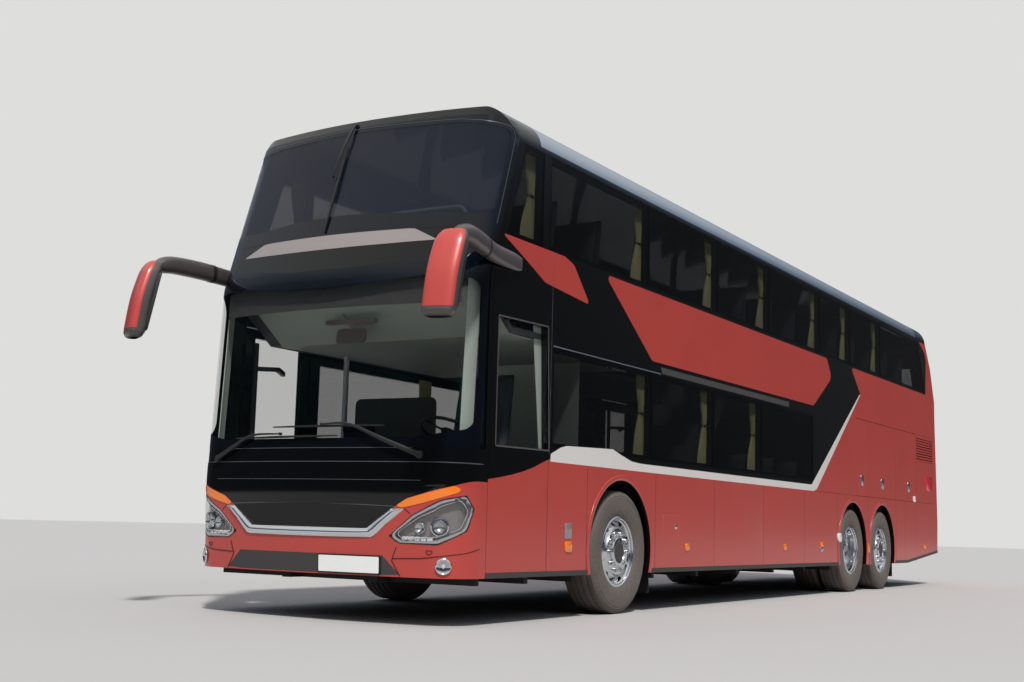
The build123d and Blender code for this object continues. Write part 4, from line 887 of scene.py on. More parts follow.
class ADD_OT_coach_side_windows(bpy.types.Operator):
    """Panes of the side windows: dark privacy glass, and a clear pane at the driver"""

    bl_idname = "coach.side_windows"
    bl_label = "Side windows"

    def execute(self, context):
        for hand, side in HANDS:
            outlines = dict(side_zones(side))["glass"]
            panes = len(UPPER_PANES) + len(LOWER_PANES)
            dark, clear = [], []
            for index, outline in enumerate(outlines):
                grown = outline + np.where(outline > outline.mean(axis=0), 0.002, -0.002)
                (clear if index >= panes else dark).append(side_sheet(*cut_one(grown), side, -0.001, 0.006))
            build(f"side_panes_{hand}", *joined(dark), "privacy glass", replaces=[f"side_glass_{hand}"])
            if clear:
                frame_bead = side_line(back_to_start(outlines[panes]), side, 0.012, 0.004)
                build("driver_pane_bead", *frame_bead, "taupe moulded polycarbonate")
                build(f"driver_pane_{hand}", *joined(clear), "laminated windscreen glass")
        return {"FINISHED"}


# mirrors
# The arm, in mm: distance behind the front, near and far edge outwards, lower and upper edge.
ARM = [(890, 1275, 1302, 2672, 2778), (760, 1275, 1325, 2655, 2792), (430, 1283, 1372, 2655, 2800)]
ARM += [(180, 1315, 1430, 2672, 2822), (-60, 1360, 1490, 2680, 2826), (-180, 1378, 1508, 2670, 2808)]
ARM += [(-255, 1395, 1500, 2668, 2760), (-268, 1418, 1480, 2690, 2735)]
ARM = np.array(ARM) / 1000
# The head's slices, in mm: height, distance behind the front, way outwards, depth and width.
HEAD = [(2108, -442, 1447, 70, 150), (2120, -441, 1447, 110, 200), (2145, -439, 1447, 134, 226)]
HEAD += [(2180, -432, 1447, 146, 238), (2430, -387, 1447, 148, 240), (2620, -325, 1447, 148, 236)]
HEAD += [(2690, -295, 1447, 140, 214), (2735, -272, 1447, 112, 168), (2750, -262, 1447, 76, 110)]
HEAD = np.array(HEAD) / 1000
HEAD_SLICES = 60
HEAD_TURNS = ((1, 16), (-1, 29))  # each side's own turn in degrees


def arm_sleeve(rows, side, swell):
    """The mirror arm's skin over some of its rows, its rounded section swollen by a little."""
    across, over = oval(2.6, 32)
    b, near, far, low, high = (rows[:, k][:, None] for k in range(5))
    ys = (near + far) / 2 + ((far - near) / 2 + swell) * across
    zs = (low + high) / 2 + ((high - low) / 2 + swell) * over
    return lofted(np.stack([np.broadcast_to(FRONT_X - b, ys.shape), side * ys, zs], axis=-1))


def grid_plate(top, bottom):
    """A thin closed plate between two grids of points."""
    quads = np.array(grid_faces(*top.shape[:2]))
    triangles = np.concatenate([quads[:, [0, 1, 2]], quads[:, [0, 2, 3]]])
    return plate(top.reshape(-1, 3), bottom.reshape(-1, 3), triangles.tolist())


def head_rings(side, turn, swell, angles=None, low=0.0, high=1.0):
    """Slices of the mirror head from bottom to top. Each is a superellipse |u/a|^3.4 + |v/b|^3.4 = 1 in the
    level plane, u ahead and v outwards, turned about the upright by the head's own turn."""
    angles = np.linspace(0, 2 * math.pi, 48, endpoint=False) if angles is None else angles
    last = HEAD_SLICES - 1
    rows = curve_through(HEAD, HEAD_SLICES)[int(low * last) : int(high * last) + 1]
    along, across = bent_oval(angles, 3.4)
    z, depth, width = (rows[:, k][:, None] for k in (0, 3, 4))
    return head_place(side, turn, (depth / 2 + swell) * along, (width / 2 + swell) * across, z)


def head_place(side, turn, ahead, out, z):
    """A point of the mirror head from its own ways ahead and outwards and its height."""
    rows = curve_through(HEAD, HEAD_SLICES)
    b, y = np.interp(z, rows[:, 0], rows[:, 1]), np.interp(z, rows[:, 0], rows[:, 2])
    c, s = math.cos(math.radians(turn)), math.sin(math.radians(turn))
    x = FRONT_X - b + ahead * c - out * s
    return np.stack([x, side * (y + ahead * s + out * c), np.broadcast_to(z, x.shape)], axis=-1)


def head_plate(side, turn, outline, hole, near, far):
    """A flat plate in the head's back, square to the head, between two ways behind its middle."""
    holes = [("hole", [hole])] if hole is not None else []
    flat, triangles = cut_flat([("plate", [outline])] + holes)["plate"]
    top, bottom = (head_place(side, turn, np.full(len(flat), -way), flat[:, 0], flat[:, 1]) for way in (far, near))
    return plate(top, bottom, triangles)


class ADD_OT_coach_mirrors(bpy.types.Operator):
    """Hanging mirrors: taupe arms and housings, black collars, caps and rims, red front shells, and glass"""

    bl_idname = "coach.mirrors"
    bl_label = "Mirrors"

    def execute(self, context):
        arms, collars, housings, shells, caps, rims, glasses = [], [], [], [], [], [], []
        for side, turn in HEAD_TURNS:
            rows = curve_through(ARM, 48)
            arms.append(arm_sleeve(rows, side, -0.002))
            collars.append(arm_sleeve(rows[(rows[:, 0] > 0.245) & (rows[:, 0] < 0.30)], side, 0.0))
            housings.append(lofted(head_rings(side, turn, -0.001)))
            front = np.radians(np.linspace(-86, 64, 41))
            shells.append(grid_plate(*(head_rings(side, turn, swell, front, low=0.38) for swell in (0.0005, -0.003))))
            caps.append(lofted(head_rings(side, turn, 0.0, high=0.10)))
            rim = rounded(band(-0.108, 0.108, 2.168, 2.655), 0.032)
            hole = rounded(band(-0.098, 0.098, 2.180, 2.643), 0.024)
            rims.append(head_plate(side, turn, rim, hole, 0.046, 0.0755))
            glasses.append(head_plate(side, turn, hole, None, 0.060, 0.0735))
        taupe, black = "taupe moulded polycarbonate", "black moulded polypropylene"
        build("mirror_arms", *joined(arms), taupe, replaces=["mirrors"])
        build("mirror_collars", *joined(collars), black)
        build("mirror_housings", *joined(housings), taupe)
        build("mirror_shells", *joined(shells), "coral red metallic lacquer", smooth=60)
        build("mirror_caps", *joined(caps), black)
        build("mirror_rims", *joined(rims), black)
        build("mirror_glasses", *joined(glasses), "mirror glass")
        return {"FINISHED"}


# the front
def mirrored(outline):
    """The outline on the other side of the centre line."""
    return [(-a, b) for a, b in outline]


def front_sheets(outlines, lift, thick, inner=()):
    """A sheet on the front from outlines given as ways along the plan and heights, with inner outlines left out.
    Upright and level lines cut it finely enough to follow the curve."""
    every = np.concatenate([np.asarray(o, float) for o in outlines])
    (a0, z0), (a1, z1) = every.min(axis=0), every.max(axis=0)
    lines = [((a, z0 - 0.01), (a, z1 + 0.01)) for a in np.arange(a0 + 0.025, a1, 0.05)]
    lines += [((a0 - 0.01, z), (a1 + 0.01, z)) for z in np.arange(z0 + 0.05, z1, 0.09)]
    flat, triangles = cut_flat([("sheet", outlines), ("hole", list(inner))], lines)["sheet"]
    return front_sheet(flat, triangles, lift, thick)


def front_line(path, width, lift=0.003, depth=0.004, closed=False, steps=8):
    """A fine bead along a path of ways and heights on the front."""
    path = np.asarray(path, float)
    if closed:
        path = back_to_start(path)
    t = np.linspace(0, len(path) - 1, (len(path) - 1) * steps + 1)
    runs = np.interp(t, np.arange(len(path)), path[:, 0])
    zs = np.interp(t, np.arange(len(path)), path[:, 1])
    points = on_body(runs, zs, lift - depth / 2)
    out = on_body(runs, zs, lift + 0.02) - points
    if closed:
        points, out = points[:-1], out[:-1]
    wide, deep = width / 2, depth / 2
    return carried(band(-wide, wide, -deep, deep), points, closed, out)


def on_front(profile, run, z, count):
    """A turned form set on the front: its axis points out of the skin at that place."""
    points, faces = turned(profile, count, (0, 0, 0), axis="x")
    origin = on_body(run, z)
    out = on_body(run, z, 0.1) - origin
    out = out / np.linalg.norm(out)
    across = np.cross((0, 0, 1), out)
    across /= np.linalg.norm(across)
    over = np.cross(out, across)
    return points @ np.stack([out, across, over]) + origin, faces


# Outlines on the front, each point as the way along the plan to the left and the height.
STRIP = [(0.955, 2.820), (0.748, 2.921), (0.690, 2.926), (0, 2.930), (-0.690, 2.926), (-0.748, 2.921)]
STRIP += [(-0.955, 2.820), (-0.5, 2.813), (0, 2.811), (0.5, 2.813)]
HEADLAMP = [(0.730, 0.632), (0.817, 0.584), (1.116, 0.578), (1.337, 0.680), (1.406, 0.839), (1.336, 0.935)]
HEADLAMP += [(1.140, 0.900), (0.918, 0.787)]
LAMP_MIDDLE = np.array([1.09, 0.74])
DRAWN_IN = (0.008, 0.010, 0.032, 0.052, 0.060)
INDICATOR = [(0.844, 0.838), (1.004, 0.874), (1.261, 0.952), (1.290, 0.978), (1.232, 1.000), (0.888, 0.906)]
INDICATOR += [(0.781, 0.848)]
PLATE = (0.140, 0.660, 0.365, 0.482)
# Middles of the round lamps.
FOG_LAMP = (1.157, 0.430)
PROJECTOR = (1.129, 0.705)
HIGH_BEAM = (0.975, 0.694)
# Turned forms of the lamps: place out of the skin, radius.
BEZEL = [(-0.040, 0.070), (-0.006, 0.066), (-0.004, 0.058), (-0.012, 0.052), (-0.040, 0.050)]
LENS = [(-0.036, 0.0), (-0.036, 0.051), (-0.022, 0.049), (-0.012, 0.040), (-0.006, 0.024), (-0.004, 0.0)]
BOWL = np.array([(-0.042, 0.0), (-0.042, 0.044), (-0.012, 0.047), (-0.010, 0.044), (-0.030, 0.026), (-0.038, 0.0)])
FOG_BOWL = [(0.001, 0.0), (0.001, 0.060), (0.010, 0.058), (0.013, 0.053), (0.009, 0.048), (0.003, 0.030), (0.002, 0)]
FOG_GLASS = [(0.0065, 0.0), (0.0065, 0.046), (0.009, 0.048), (0.013, 0.030), (0.015, 0.0)]
FOG_BULB = [(0.002, 0.0), (0.002, 0.014), (0.005, 0.013), (0.006, 0.008), (0.006, 0.0)]


def on_hand(outline, sign):
    """An outline as it is, or mirrored for the right side, running round the same way."""
    return (np.asarray(outline, float) * [sign, 1])[::sign]


class ADD_OT_coach_front_trim(bpy.types.Operator):
    """Brow strip, the windscreens' black borders, curved mask, punched panel, pale lines of painted highlight on panel
    edges, shut lines of painted shade, and plate
    """

    bl_idname = "coach.front_trim"
    bl_label = "Front trim"

    def execute(self, context):
        strip = front_sheets([rounded(STRIP, [0.005, 0.06, 0, 0, 0, 0.06, 0.005, 0, 0, 0])], 0.004, 0.004)
        build("brow_strip", *strip, "taupe metallic lacquer")
        edge = 1.455
        outer = [(-edge, 2.925), (edge, 2.925), (edge, 3.845), (0.9, 3.882), (0, 3.893), (-0.9, 3.882), (-edge, 3.845)]
        inner = [(-1.36, 3.035), (-0.78, 3.045), (-0.40, 3.085), (0, 3.092), (0.40, 3.085), (0.78, 3.045)]
        inner += [(1.36, 3.035), (1.36, 3.76), (0.9, 3.815), (0, 3.830), (-0.9, 3.815), (-1.36, 3.76)]
        inner = rounded(inner, [0.10, 0.3, 0.3, 0.3, 0.3, 0.3, 0.10, 0.10, 0.3, 0.3, 0.3, 0.10])
        upper = front_sheets([outer], 0.0016, 0.001, [inner])
        low_edge = 1.44
        brow = [(0, 2.611), (0.585, 2.661), (0.820, 2.694), (1.054, 2.737), (low_edge, 2.750)]
        outer = brow + [(low_edge, 1.276), (-low_edge, 1.276)] + mirrored(brow[:0:-1])
        inner = [(1.37, 1.42), (1.37, 2.52), (0.9, 2.545), (0.4, 2.50), (0, 2.480), (-0.4, 2.50), (-0.9, 2.545)]
        inner += [(-1.37, 2.52), (-1.37, 1.42), (-0.9, 1.34), (0.9, 1.34)]
        inner = rounded(inner, [0.12, 0.14, 0.3, 0.3, 0.3, 0.3, 0.3, 0.14, 0.12, 0.25, 0.25])
        lower = front_sheets([outer], 0.0016, 0.001, [inner])
        build("windscreen_borders", *joined([upper, lower]), "black ceramic frit", smooth=20)
        pale = [front_line([(-1.495, 1.166), (-0.9, 1.166), (0, 1.166), (0.9, 1.166), (1.495, 1.166)], 0.006)]
        pale.append(front_line([(-0.9, 1.268), (0, 1.268), (0.9, 1.268)], 0.005))
        pale.append(front_line([(-0.98, 1.034), (0, 1.034), (0.98, 1.034)], 0.004, 0.004))
        pale.append(front_line([(-0.777, 0.846), (-0.4, 0.857), (0, 0.862), (0.4, 0.857), (0.777, 0.846)], 0.006))
        rim = [(-1.40, 2.98), (-1.40, 3.78), (-0.9, 3.842), (0, 3.862), (0.9, 3.842), (1.40, 3.78), (1.40, 2.98)]
        pale.append(front_line(rounded(rim, [0.01, 0.12, 0.5, 0.5, 0.5, 0.12, 0.01]), 0.004, 0.0035))
        # The mask turns over its widest line in a parabola 0.24 m high, tangent to the faces above and below.
        z = np.linspace(0.858, 1.163, 36)[:, None]
        reach = np.interp(z, [0.826, 0.904, 1.0, 1.036, 1.063, 1.166], [0.752, 0.866, 1.196, 1.268, 1.30, 1.49]) - 0.006
        run = reach * np.linspace(-1, 1, 81)[None, :]
        lift = 0.0036 - 0.21 * np.clip(0.12 - np.abs(z - 0.98), 0, None) ** 2
        curve = grid_plate(on_body(run, z, lift), on_body(run, z, -0.0005))
        build("mask_curve", *curve, "piano black acrylic")
        panel = [(-0.735, 0.835), (-0.4, 0.850), (0, 0.855), (0.4, 0.850), (0.735, 0.835)]
        panel += [(0.50, 0.690), (-0.50, 0.690)]
        build("punched_panel", *front_sheets([panel], 0.0016, 0.001), "black punched panel")
        build("front_edge_lines", *joined(pale), "black acrylic edge highlight")
        # Dark lines round the bumper's parts: painted shade for the gaps between them.
        dark = []
        for path in (
            [(0.844, 0.838), (0.903, 0.797)],
            [(0.795, 0.557), (0.758, 0.462), (0.826, 0.351)],
            [(0.766, 0.475), (0.993, 0.483), (1.322, 0.524), (1.470, 0.557)],
        ):
            dark += [front_line(path, 0.005, 0.0012, 0.003), front_line(mirrored(path), 0.005, 0.0012, 0.003)]
        triangle = rounded([(1.014, 0.537), (1.052, 0.507), (1.093, 0.538)], 0.008, 3)
        for path in (triangle, np.asarray(mirrored(triangle))[::-1]):
            dark.append(front_line(path, 0.0035, 0.0012, 0.003, closed=True, steps=2))
        build("bumper_shut_lines", *joined(dark), "shut line rubber")
        a0, a1, z0, z1 = PLATE
        holder = rounded(band(a0 - 0.010, a1 + 0.010, z0 - 0.009, z1 + 0.009), 0.012)
        build("plate_holder", *front_sheets([holder], 0.010, 0.016), "black moulded polypropylene")
        build("blank_plate", *front_sheets([rounded(band(*PLATE), 0.008)], 0.0135, 0.003), "blank plate lacquer")
        return {"FINISHED"}


class ADD_OT_coach_chrome_bar(bpy.types.Operator):
    """Chrome bar: a convex dish form that rises to the lamps, its lift 3 mm + 15 mm sin(pi s) across it"""

    bl_idname = "coach.chrome_bar"
    bl_label = "Chrome bar"

    def execute(self, context):
        upper = [(-0.752, 0.829), (-0.650, 0.752), (-0.570, 0.694), (-0.510, 0.683), (-0.25, 0.680), (0, 0.679)]
        lower = [(-0.850, 0.829), (-0.725, 0.732), (-0.628, 0.646), (-0.560, 0.624), (-0.27, 0.618), (0, 0.617)]
        rows = curve_through(np.column_stack([upper, lower]), 60)
        rows = np.concatenate([rows, rows[-2::-1] * [-1, 1, -1, 1]])
        s = np.linspace(0, 1, 11)[None, :]
        run = rows[:, 0:1] * s + rows[:, 2:3] * (1 - s)
        z = rows[:, 1:2] * s + rows[:, 3:4] * (1 - s)
        ends = np.clip((0.853 - np.abs(rows[:, 2:3])) / 0.02, 0.1, 1)
        top = on_body(run, z, 0.003 + 0.015 * np.sin(math.pi * s) * ends)
        under = on_body(run, z, 0.0005)
        rings = np.concatenate([top, under[:, ::-1]], axis=1)
        build("chrome_dish", *lofted(rings), "chrome plating", smooth=50)
        return {"FINISHED"}


class ADD_OT_coach_front_lamps(bpy.types.Operator):
    """Headlamps, indicators and fog lamps"""

    bl_idname = "coach.front_lamps"
    bl_label = "Front lamps"

    def execute(self, context):
        chrome, black, clear, amber, white, smoked = [], [], [], [], [], []
        whole = rounded(HEADLAMP, [0.03, 0.05, 0.12, 0.10, 0.05, 0.05, 0.3, 0.06])
        step = whole - LAMP_MIDDLE
        reach = np.linalg.norm(step, axis=1)[:, None]
        indicator = rounded(INDICATOR, [0.01, 0.1, 0.02, 0.02, 0.02, 0.06, 0.01])
        for sign in (1, -1):
            # The lamp's outline on this hand, as it is and drawn in by several widths towards its middle.
            full = on_hand(whole, sign)
            drawn = {by: on_hand(LAMP_MIDDLE + step * (1 - by / reach), sign) for by in DRAWN_IN}
            projector, high_beam, fog = ((sign * a, z) for a, z in (PROJECTOR, HIGH_BEAM, FOG_LAMP))
            smoked.append(front_sheets([full], -0.045, 0.004))
            black.append(front_sheets([full], 0.000, 0.048, [drawn[0.008]]))
            chrome.append(front_sheets([drawn[0.010]], -0.002, 0.030, [drawn[0.032]]))
            clear.append(front_sheets([full], 0.0035, 0.003))
            chrome.append(on_front(BEZEL, *projector, 48))
            clear.append(on_front(LENS, *projector, 40))
            chrome.append(on_front(BOWL * [1, 0.85], *high_beam, 40))
            chrome.append(on_front(BOWL * [1, 1.04], *projector, 40))
            chrome.append(front_sheets([drawn[0.052]], -0.006, 0.012, [drawn[0.060]]))
            for k in range(5):
                a = 0.835 + 0.050 * k
                block = rounded(on_hand(band(a, a + 0.042, 0.606, 0.634), sign), 0.008, 3)
                white.append(front_sheets([block], -0.008, 0.024))
            amber.append(front_sheets([on_hand(indicator, sign)], 0.003, 0.005))
            chrome.append(on_front(FOG_BOWL, *fog, 48))
            clear.append(on_front(FOG_GLASS, *fog, 40))
            white.append(on_front(FOG_BULB, *fog, 20))
        build("lamp_bowls", *joined(black), "black moulded polypropylene", replaces=["headlamps"])
        build("lamp_floors", *joined(smoked), "taupe metallic lacquer")
        build("lamp_reflectors", *joined(chrome), "chrome plating")
        build("lamp_light_bars", *joined(white), "white polycarbonate")
        build("indicator_lenses", *joined(amber), "amber polycarbonate")
        build("lamp_covers", *joined(clear), "clear polycarbonate")
        return {"FINISHED"}


def wiper_rod(points, sizes, lifts):
    """A bar over the glass through places given as way and height, with width, depth and lift at each."""
    rows = curve_through(np.column_stack([points, sizes, lifts]), 28)
    place = on_body(rows[:, 0], rows[:, 1], 0.0)
    out = on_body(rows[:, 0], rows[:, 1], 0.1) - place
    out /= np.linalg.norm(out, axis=1)[:, None]
    place = place + out * rows[:, 4:5]
    ahead = np.gradient(place, axis=0)
    ahead /= np.linalg.norm(ahead, axis=1)[:, None]
    across = np.cross(ahead, out)
    across /= np.linalg.norm(across, axis=1)[:, None]
    a, b = oval(3.0, 12)
    wide, deep = (rows[:, k : k + 1, None] / 2 for k in (2, 3))
    a, b = a[None, :, None], b[None, :, None]
    return lofted(place[:, None, :] + wide * a * across[:, None, :] + deep * b * out[:, None, :])


class ADD_OT_coach_wipers(bpy.types.Operator):
    """Wipers: tapered arms, hinged heads, blades and rubbers"""

    bl_idname = "coach.wipers"
    bl_label = "Wipers"

    def execute(self, context):
        shapes = []
        # Columns: pivot, elbow, end of the arm, blade's two ends; each as way along the plan and height.
        for pivot, elbow, end, first, last in (
            ((0.965, 1.216), (0.380, 1.436), (0.130, 1.440), (-0.360, 1.426), (0.665, 1.428)),
            ((-0.985, 1.190), (-0.560, 1.362), (-0.270, 1.372), (-0.765, 1.345), (0.263, 1.355)),
            ((-0.070, 3.900), (-0.130, 3.520), (-0.146, 3.440), (-0.080, 3.700), (-0.092, 2.953)),
        ):
            upper = first[1] > 3
            arm = [pivot, (np.array(pivot) + elbow) / 2, elbow, end]
            sizes = np.array([(0.040, 0.026), (0.032, 0.022), (0.020, 0.014), (0.012, 0.010)])
            shapes.append(wiper_rod(arm, sizes * (0.7 if upper else 1), [0.024, 0.040, 0.044, 0.038]))
            span = [first, (np.array(first) + last) / 2, last]
            shapes.append(wiper_rod(span, [(0.010, 0.012), (0.018, 0.020), (0.010, 0.012)], [0.016, 0.020, 0.016]))
            shapes.append(wiper_rod(span, [(0.004, 0.014)] * 3, [0.0085] * 3))
            knob = np.array([(-0.006, 0.0), (-0.006, 0.030), (0.026, 0.028), (0.034, 0.020), (0.036, 0.0)])
            shapes.append(on_front(knob * ([0.8, 0.7] if upper else [1, 1]), *pivot, 24))
            grip = np.array([(-0.002, 0.0), (-0.002, 0.011), (0.020, 0.011), (0.020, 0.0)])
            shapes.append(on_front(grip + [0.020, 0.0], *end, 12))
        build("wiper_sets", *joined(shapes), "black moulded polypropylene", replaces=["wipers"])
        return {"FINISHED"}


# Seats: columns are floor height, side, first row behind the front and number of rows.
SEAT_ROWS = (
    (2.250, 1, 1.700, 2),
    (2.250, 1, 6.000, 9),
    (2.250, -1, 1.700, 4),
    (2.250, -1, 7.900, 6),
    (0.400, 1, 6.050, 4),
    (0.400, -1, 4.300, 2),
)
SEAT_PITCH = 0.800
SEAT_Y = 0.685
SEAT_HALF_SPACING = 0.231
DRIVER_PLACE = (1.520, 0.650, 0.780)
# Sections of the back, the pad and the hard shell behind: way ahead of the seat's pitch line, height on its floor.
BACK_OUTLINE = [(0.226, 0.480), (0.203, 0.60), (0.180, 0.74), (0.150, 0.90), (0.137, 0.965), (0.122, 1.02)]
BACK_OUTLINE += [(0.110, 1.115), (0.080, 1.148), (0.040, 1.140), (0.028, 1.06), (0.052, 0.86), (0.080, 0.66)]
BACK_OUTLINE += [(0.108, 0.47), (0.165, 0.445)]
PAD_OUTLINE = [(0.250, 0.440), (0.262, 0.478), (0.34, 0.476), (0.46, 0.488), (0.57, 0.497), (0.620, 0.486)]
PAD_OUTLINE += [(0.634, 0.450), (0.618, 0.412), (0.54, 0.398), (0.40, 0.392), (0.29, 0.400)]
SHELL_OUTLINE = [(0.004, 1.146), (0.018, 1.146), (0.044, 0.96), (0.098, 0.50), (0.140, 0.41), (0.100, 0.38)]
SHELL_OUTLINE += [(0.030, 0.90)]
LEG_AHEAD = 0.37
LEG_HEIGHT = 0.392
# Where a pillow's sections lie across it, as shares of its half width.
ACROSS = (0.25, 0.55, 0.82, 0.90, 0.93, 0.955, 0.985, 1)
ACROSS = np.array([-a for a in ACROSS[::-1]] + [0, *ACROSS])


def pillow(outline, width, edge, crown, channels=(), count=56):
    """A stuffed form across the seat. Over the way across t from -1 to 1 its section is the outline moved in
    along its normals by edge (1 - sqrt(1 - q^2)), q rising from 0 to 1 over the last edge of the width, and
    moved out by crown (1 - t^2). A piping bead of 2.5 mm runs round at 0.93 of the way, and each sewn channel
    dips 6 mm as a bell of width 0.012 of the outline."""
    section = closed_curve(outline, count)
    ahead = np.roll(section, -1, 0) - np.roll(section, 1, 0)
    normal = np.stack([ahead[:, 1], -ahead[:, 0]], axis=-1) / np.linalg.norm(ahead, axis=1)[:, None]
    area = np.sum(section[:, 0] * np.roll(section[:, 1], -1) - section[:, 1] * np.roll(section[:, 0], -1))
    normal *= math.copysign(1, area)
    t = ACROSS
    q = np.clip((np.abs(t) * width / 2 - (width / 2 - edge)) / edge, 0, 1)
    move = crown * (1 - t**2) - edge * (1 - np.sqrt(1 - q**2)) + 0.0025 * (np.abs(np.abs(t) - 0.93) < 0.01)
    way = np.arange(count) / count
    dip = sum((0.006 * np.exp(-(((way - c) / 0.012) ** 2)) for c in channels), np.zeros(count))
    out = move[:, None] - dip[None, :] * (np.abs(t) < 0.97)[:, None]
    xz = section[None] + out[:, :, None] * normal[None]
    y = np.broadcast_to((t * width / 2)[:, None], xz.shape[:2])
    return lofted(np.stack([xz[:, :, 0], y, xz[:, :, 1]], axis=-1))


def seat_places():
    """Every seat's place: its pitch line, middle and floor, two seats to each double seat."""
    return [
        (FRONT_X - first - row * SEAT_PITCH, side * SEAT_Y + shift, floor)
        for floor, side, first, rows in SEAT_ROWS
        for row in range(rows)
        for shift in (-SEAT_HALF_SPACING, SEAT_HALF_SPACING)
    ]


def upright_bar(x, y, low, high, along, across):
    """A post of rounded rectangular section."""
    a, b = oval(4, 16)
    z = np.array([low, high])[:, None]
    ring = np.stack([x + along / 2 * a, y + across / 2 * b, np.zeros(16)], axis=-1)[None] + z[:, :, None] * [0, 0, 1]
    return lofted(ring)


class ADD_OT_coach_seats(bpy.types.Operator):
    """Seats: crowned cushions and backs with piping and sewn channels, hard rear shells, legs and armrests"""

    bl_idname = "coach.seats"
    bl_label = "Seats"

    def execute(self, context):
        crown = context.scene.coach_sizes.cushion_crown
        places = seat_places()
        x, y, z = DRIVER_PLACE
        driver = (FRONT_X - x, y, z)
        back = pillow(BACK_OUTLINE, 0.440, 0.040, crown, (0.16, 0.28, 0.355))
        pad = pillow(PAD_OUTLINE, 0.440, 0.035, crown, (0.27, 0.46))
        wide_back = pillow(BACK_OUTLINE, 0.510, 0.045, crown, (0.16, 0.28, 0.355))
        wide_pad = pillow(PAD_OUTLINE, 0.510, 0.040, crown, (0.27, 0.46))
        shell = pillow(SHELL_OUTLINE, 0.450, 0.010, 0.0, count=40)

        def at(shape, spots):
            return [(shape[0] + np.asarray(spot), shape[1]) for spot in spots]

        cloth = at(back, places) + at(wide_back, [driver])
        backs = build("seat_backs", *joined(cloth), "seat plush", replaces=["seats"], smooth=60)
        pads = build("seat_cushions", *joined(at(pad, places) + at(wide_pad, [driver])), "seat plush", smooth=60)
        build("seat_shells", *joined(at(shell, places + [driver])), "dark grey moulded polypropylene")
        legs, arms = [], []
        line = curve_through([(0.10, 0.60), (0.16, 0.665), (0.30, 0.675), (0.46, 0.665), (0.485, 0.645)], 14)
        for x, y, floor in places:
            legs.append(upright_bar(x + LEG_AHEAD, y, floor, floor + LEG_HEIGHT, 0.11, 0.045))
            for end in (-0.225, 0.225):
                path = np.stack([x + line[:, 0], np.full(14, y + end * 0.94), floor + line[:, 1]], axis=-1)
                arms.append(carried(circle(0.016, 10) * [1.0, 0.8], path))
        x, y, floor = driver
        legs.append(upright_bar(x + LEG_AHEAD, y, floor, floor + LEG_HEIGHT, 0.24, 0.22))
        build("seat_legs", *joined(legs), "brushed stainless tube")
        build("seat_armrests", *joined(arms), "black moulded polypropylene")
        return {"FINISHED"}


# Curtains: columns are the pane joint's place behind the front, lower and upper edge, and the sides that have it.
CURTAINS = [(b, 2.885, 3.694, (1, -1)) for b in (1.235, 3.194, 4.846, 6.345)]
CURTAINS += [(b, 2.885, 3.694, (1,)) for b in (8.110, 9.340, 10.740)]
CURTAINS += [(b, 1.310, 2.150, (1, -1)) for b in (3.300, 4.760, 6.110)]
CURTAIN_Y = 1.200
CURTAIN_SHIFT = 0.085  # how far ahead of the pane joint a curtain hangs
TIE_SHARE = 0.55


def curtain_cloth(b, low, high, side, flat_width):
    """A gathered curtain tied back a little over half way up. Its half width is 0.165 - 0.070 s less
    0.0815 exp(-((z - tie) / 0.17)^2), s rising from 0 at the hem to 1 at the rail: 0.045 at the tie. Its pleats are
    a sine of seven waves that lean and straighten upwards. Their height takes up the cloth's width, to 12.8 mm at
    most."""
    waves, columns, rows = 7, 99, 46
    u = np.linspace(-1, 1, columns)[None, :]
    z = np.linspace(low + 0.004, high - 0.002, rows)[:, None]
    tie = low + TIE_SHARE * (high - low)
    half = 0.165 - 0.070 * (z - low) / (high - low) - 0.0815 * np.exp(-(((z - tie) / 0.17) ** 2))
    depth = np.minimum(np.sqrt(flat_width**2 - (2 * half) ** 2) / (4.35 * waves), 0.0128)
    phase = waves * math.pi * u + 0.5 * np.sin(5 * z + 3 * b) * (1 - ((z - low) / (high - low)))
    drift = 0.020 * np.sin(3.1 * (z - tie)) * np.cos(b * 7)
    x = FRONT_X - b + CURTAIN_SHIFT + half * u + drift * (1 - u**2) + 0.0015 * np.sin(2 * phase)
    y = side * (CURTAIN_Y + 0.0002 + depth * np.sin(phase))
    front = np.stack([x, y, np.broadcast_to(z, x.shape)], axis=-1)
    return front, rows, columns


class ADD_OT_coach_curtains(bpy.types.Operator):
    """Curtains, gathered and tied back at the pane joints, each with its tie"""

    bl_idname = "coach.curtains"
    bl_label = "Curtains"

    def execute(self, context):
        flat_width = context.scene.coach_sizes.curtain_width
        ties, count = [], 0
        for b, low, high, sides in CURTAINS:
            for side in sides:
                count += 1
                front, rows, columns = curtain_cloth(b, low, high, side, flat_width)
                faces, node = grid_faces(rows, columns), ["curtains"] if count == 1 else ()
                made = build(f"curtain_{count}", front, faces, "beige curtain weave", replaces=node, smooth=80)
                thick = made.modifiers.new("cloth thickness", "SOLIDIFY")
                thick.thickness = 0.0012
                thick.offset = 0.0
                tie = low + TIE_SHARE * (high - low)
                ring = oval(2.6, 28)
                x, y = FRONT_X - b + CURTAIN_SHIFT + 0.046 * ring[0], side * CURTAIN_Y + 0.0142 * ring[1]
                path = np.stack([x, y, np.full(28, tie)], axis=-1)
                ties.append(carried(band(-0.0006, 0.0006, -0.012, 0.012), path, closed=True))
        build("curtain_ties", *joined(ties), "taupe moulded polycarbonate")
        return {"FINISHED"}


# The driver's steering wheel: middle, tilt of its axis, radius of the rim's middle, section of the boss.
WHEEL_MIDDLE = np.array([FRONT_X - 0.900, 0.650, 1.430])
WHEEL_TILT = math.radians(27)
RIM_R = 0.2155
BOSS = [(0.0, 0.0), (0.0, 0.052), (0.012, 0.060), (0.022, 0.058), (0.027, 0.040), (0.028, 0.0)]
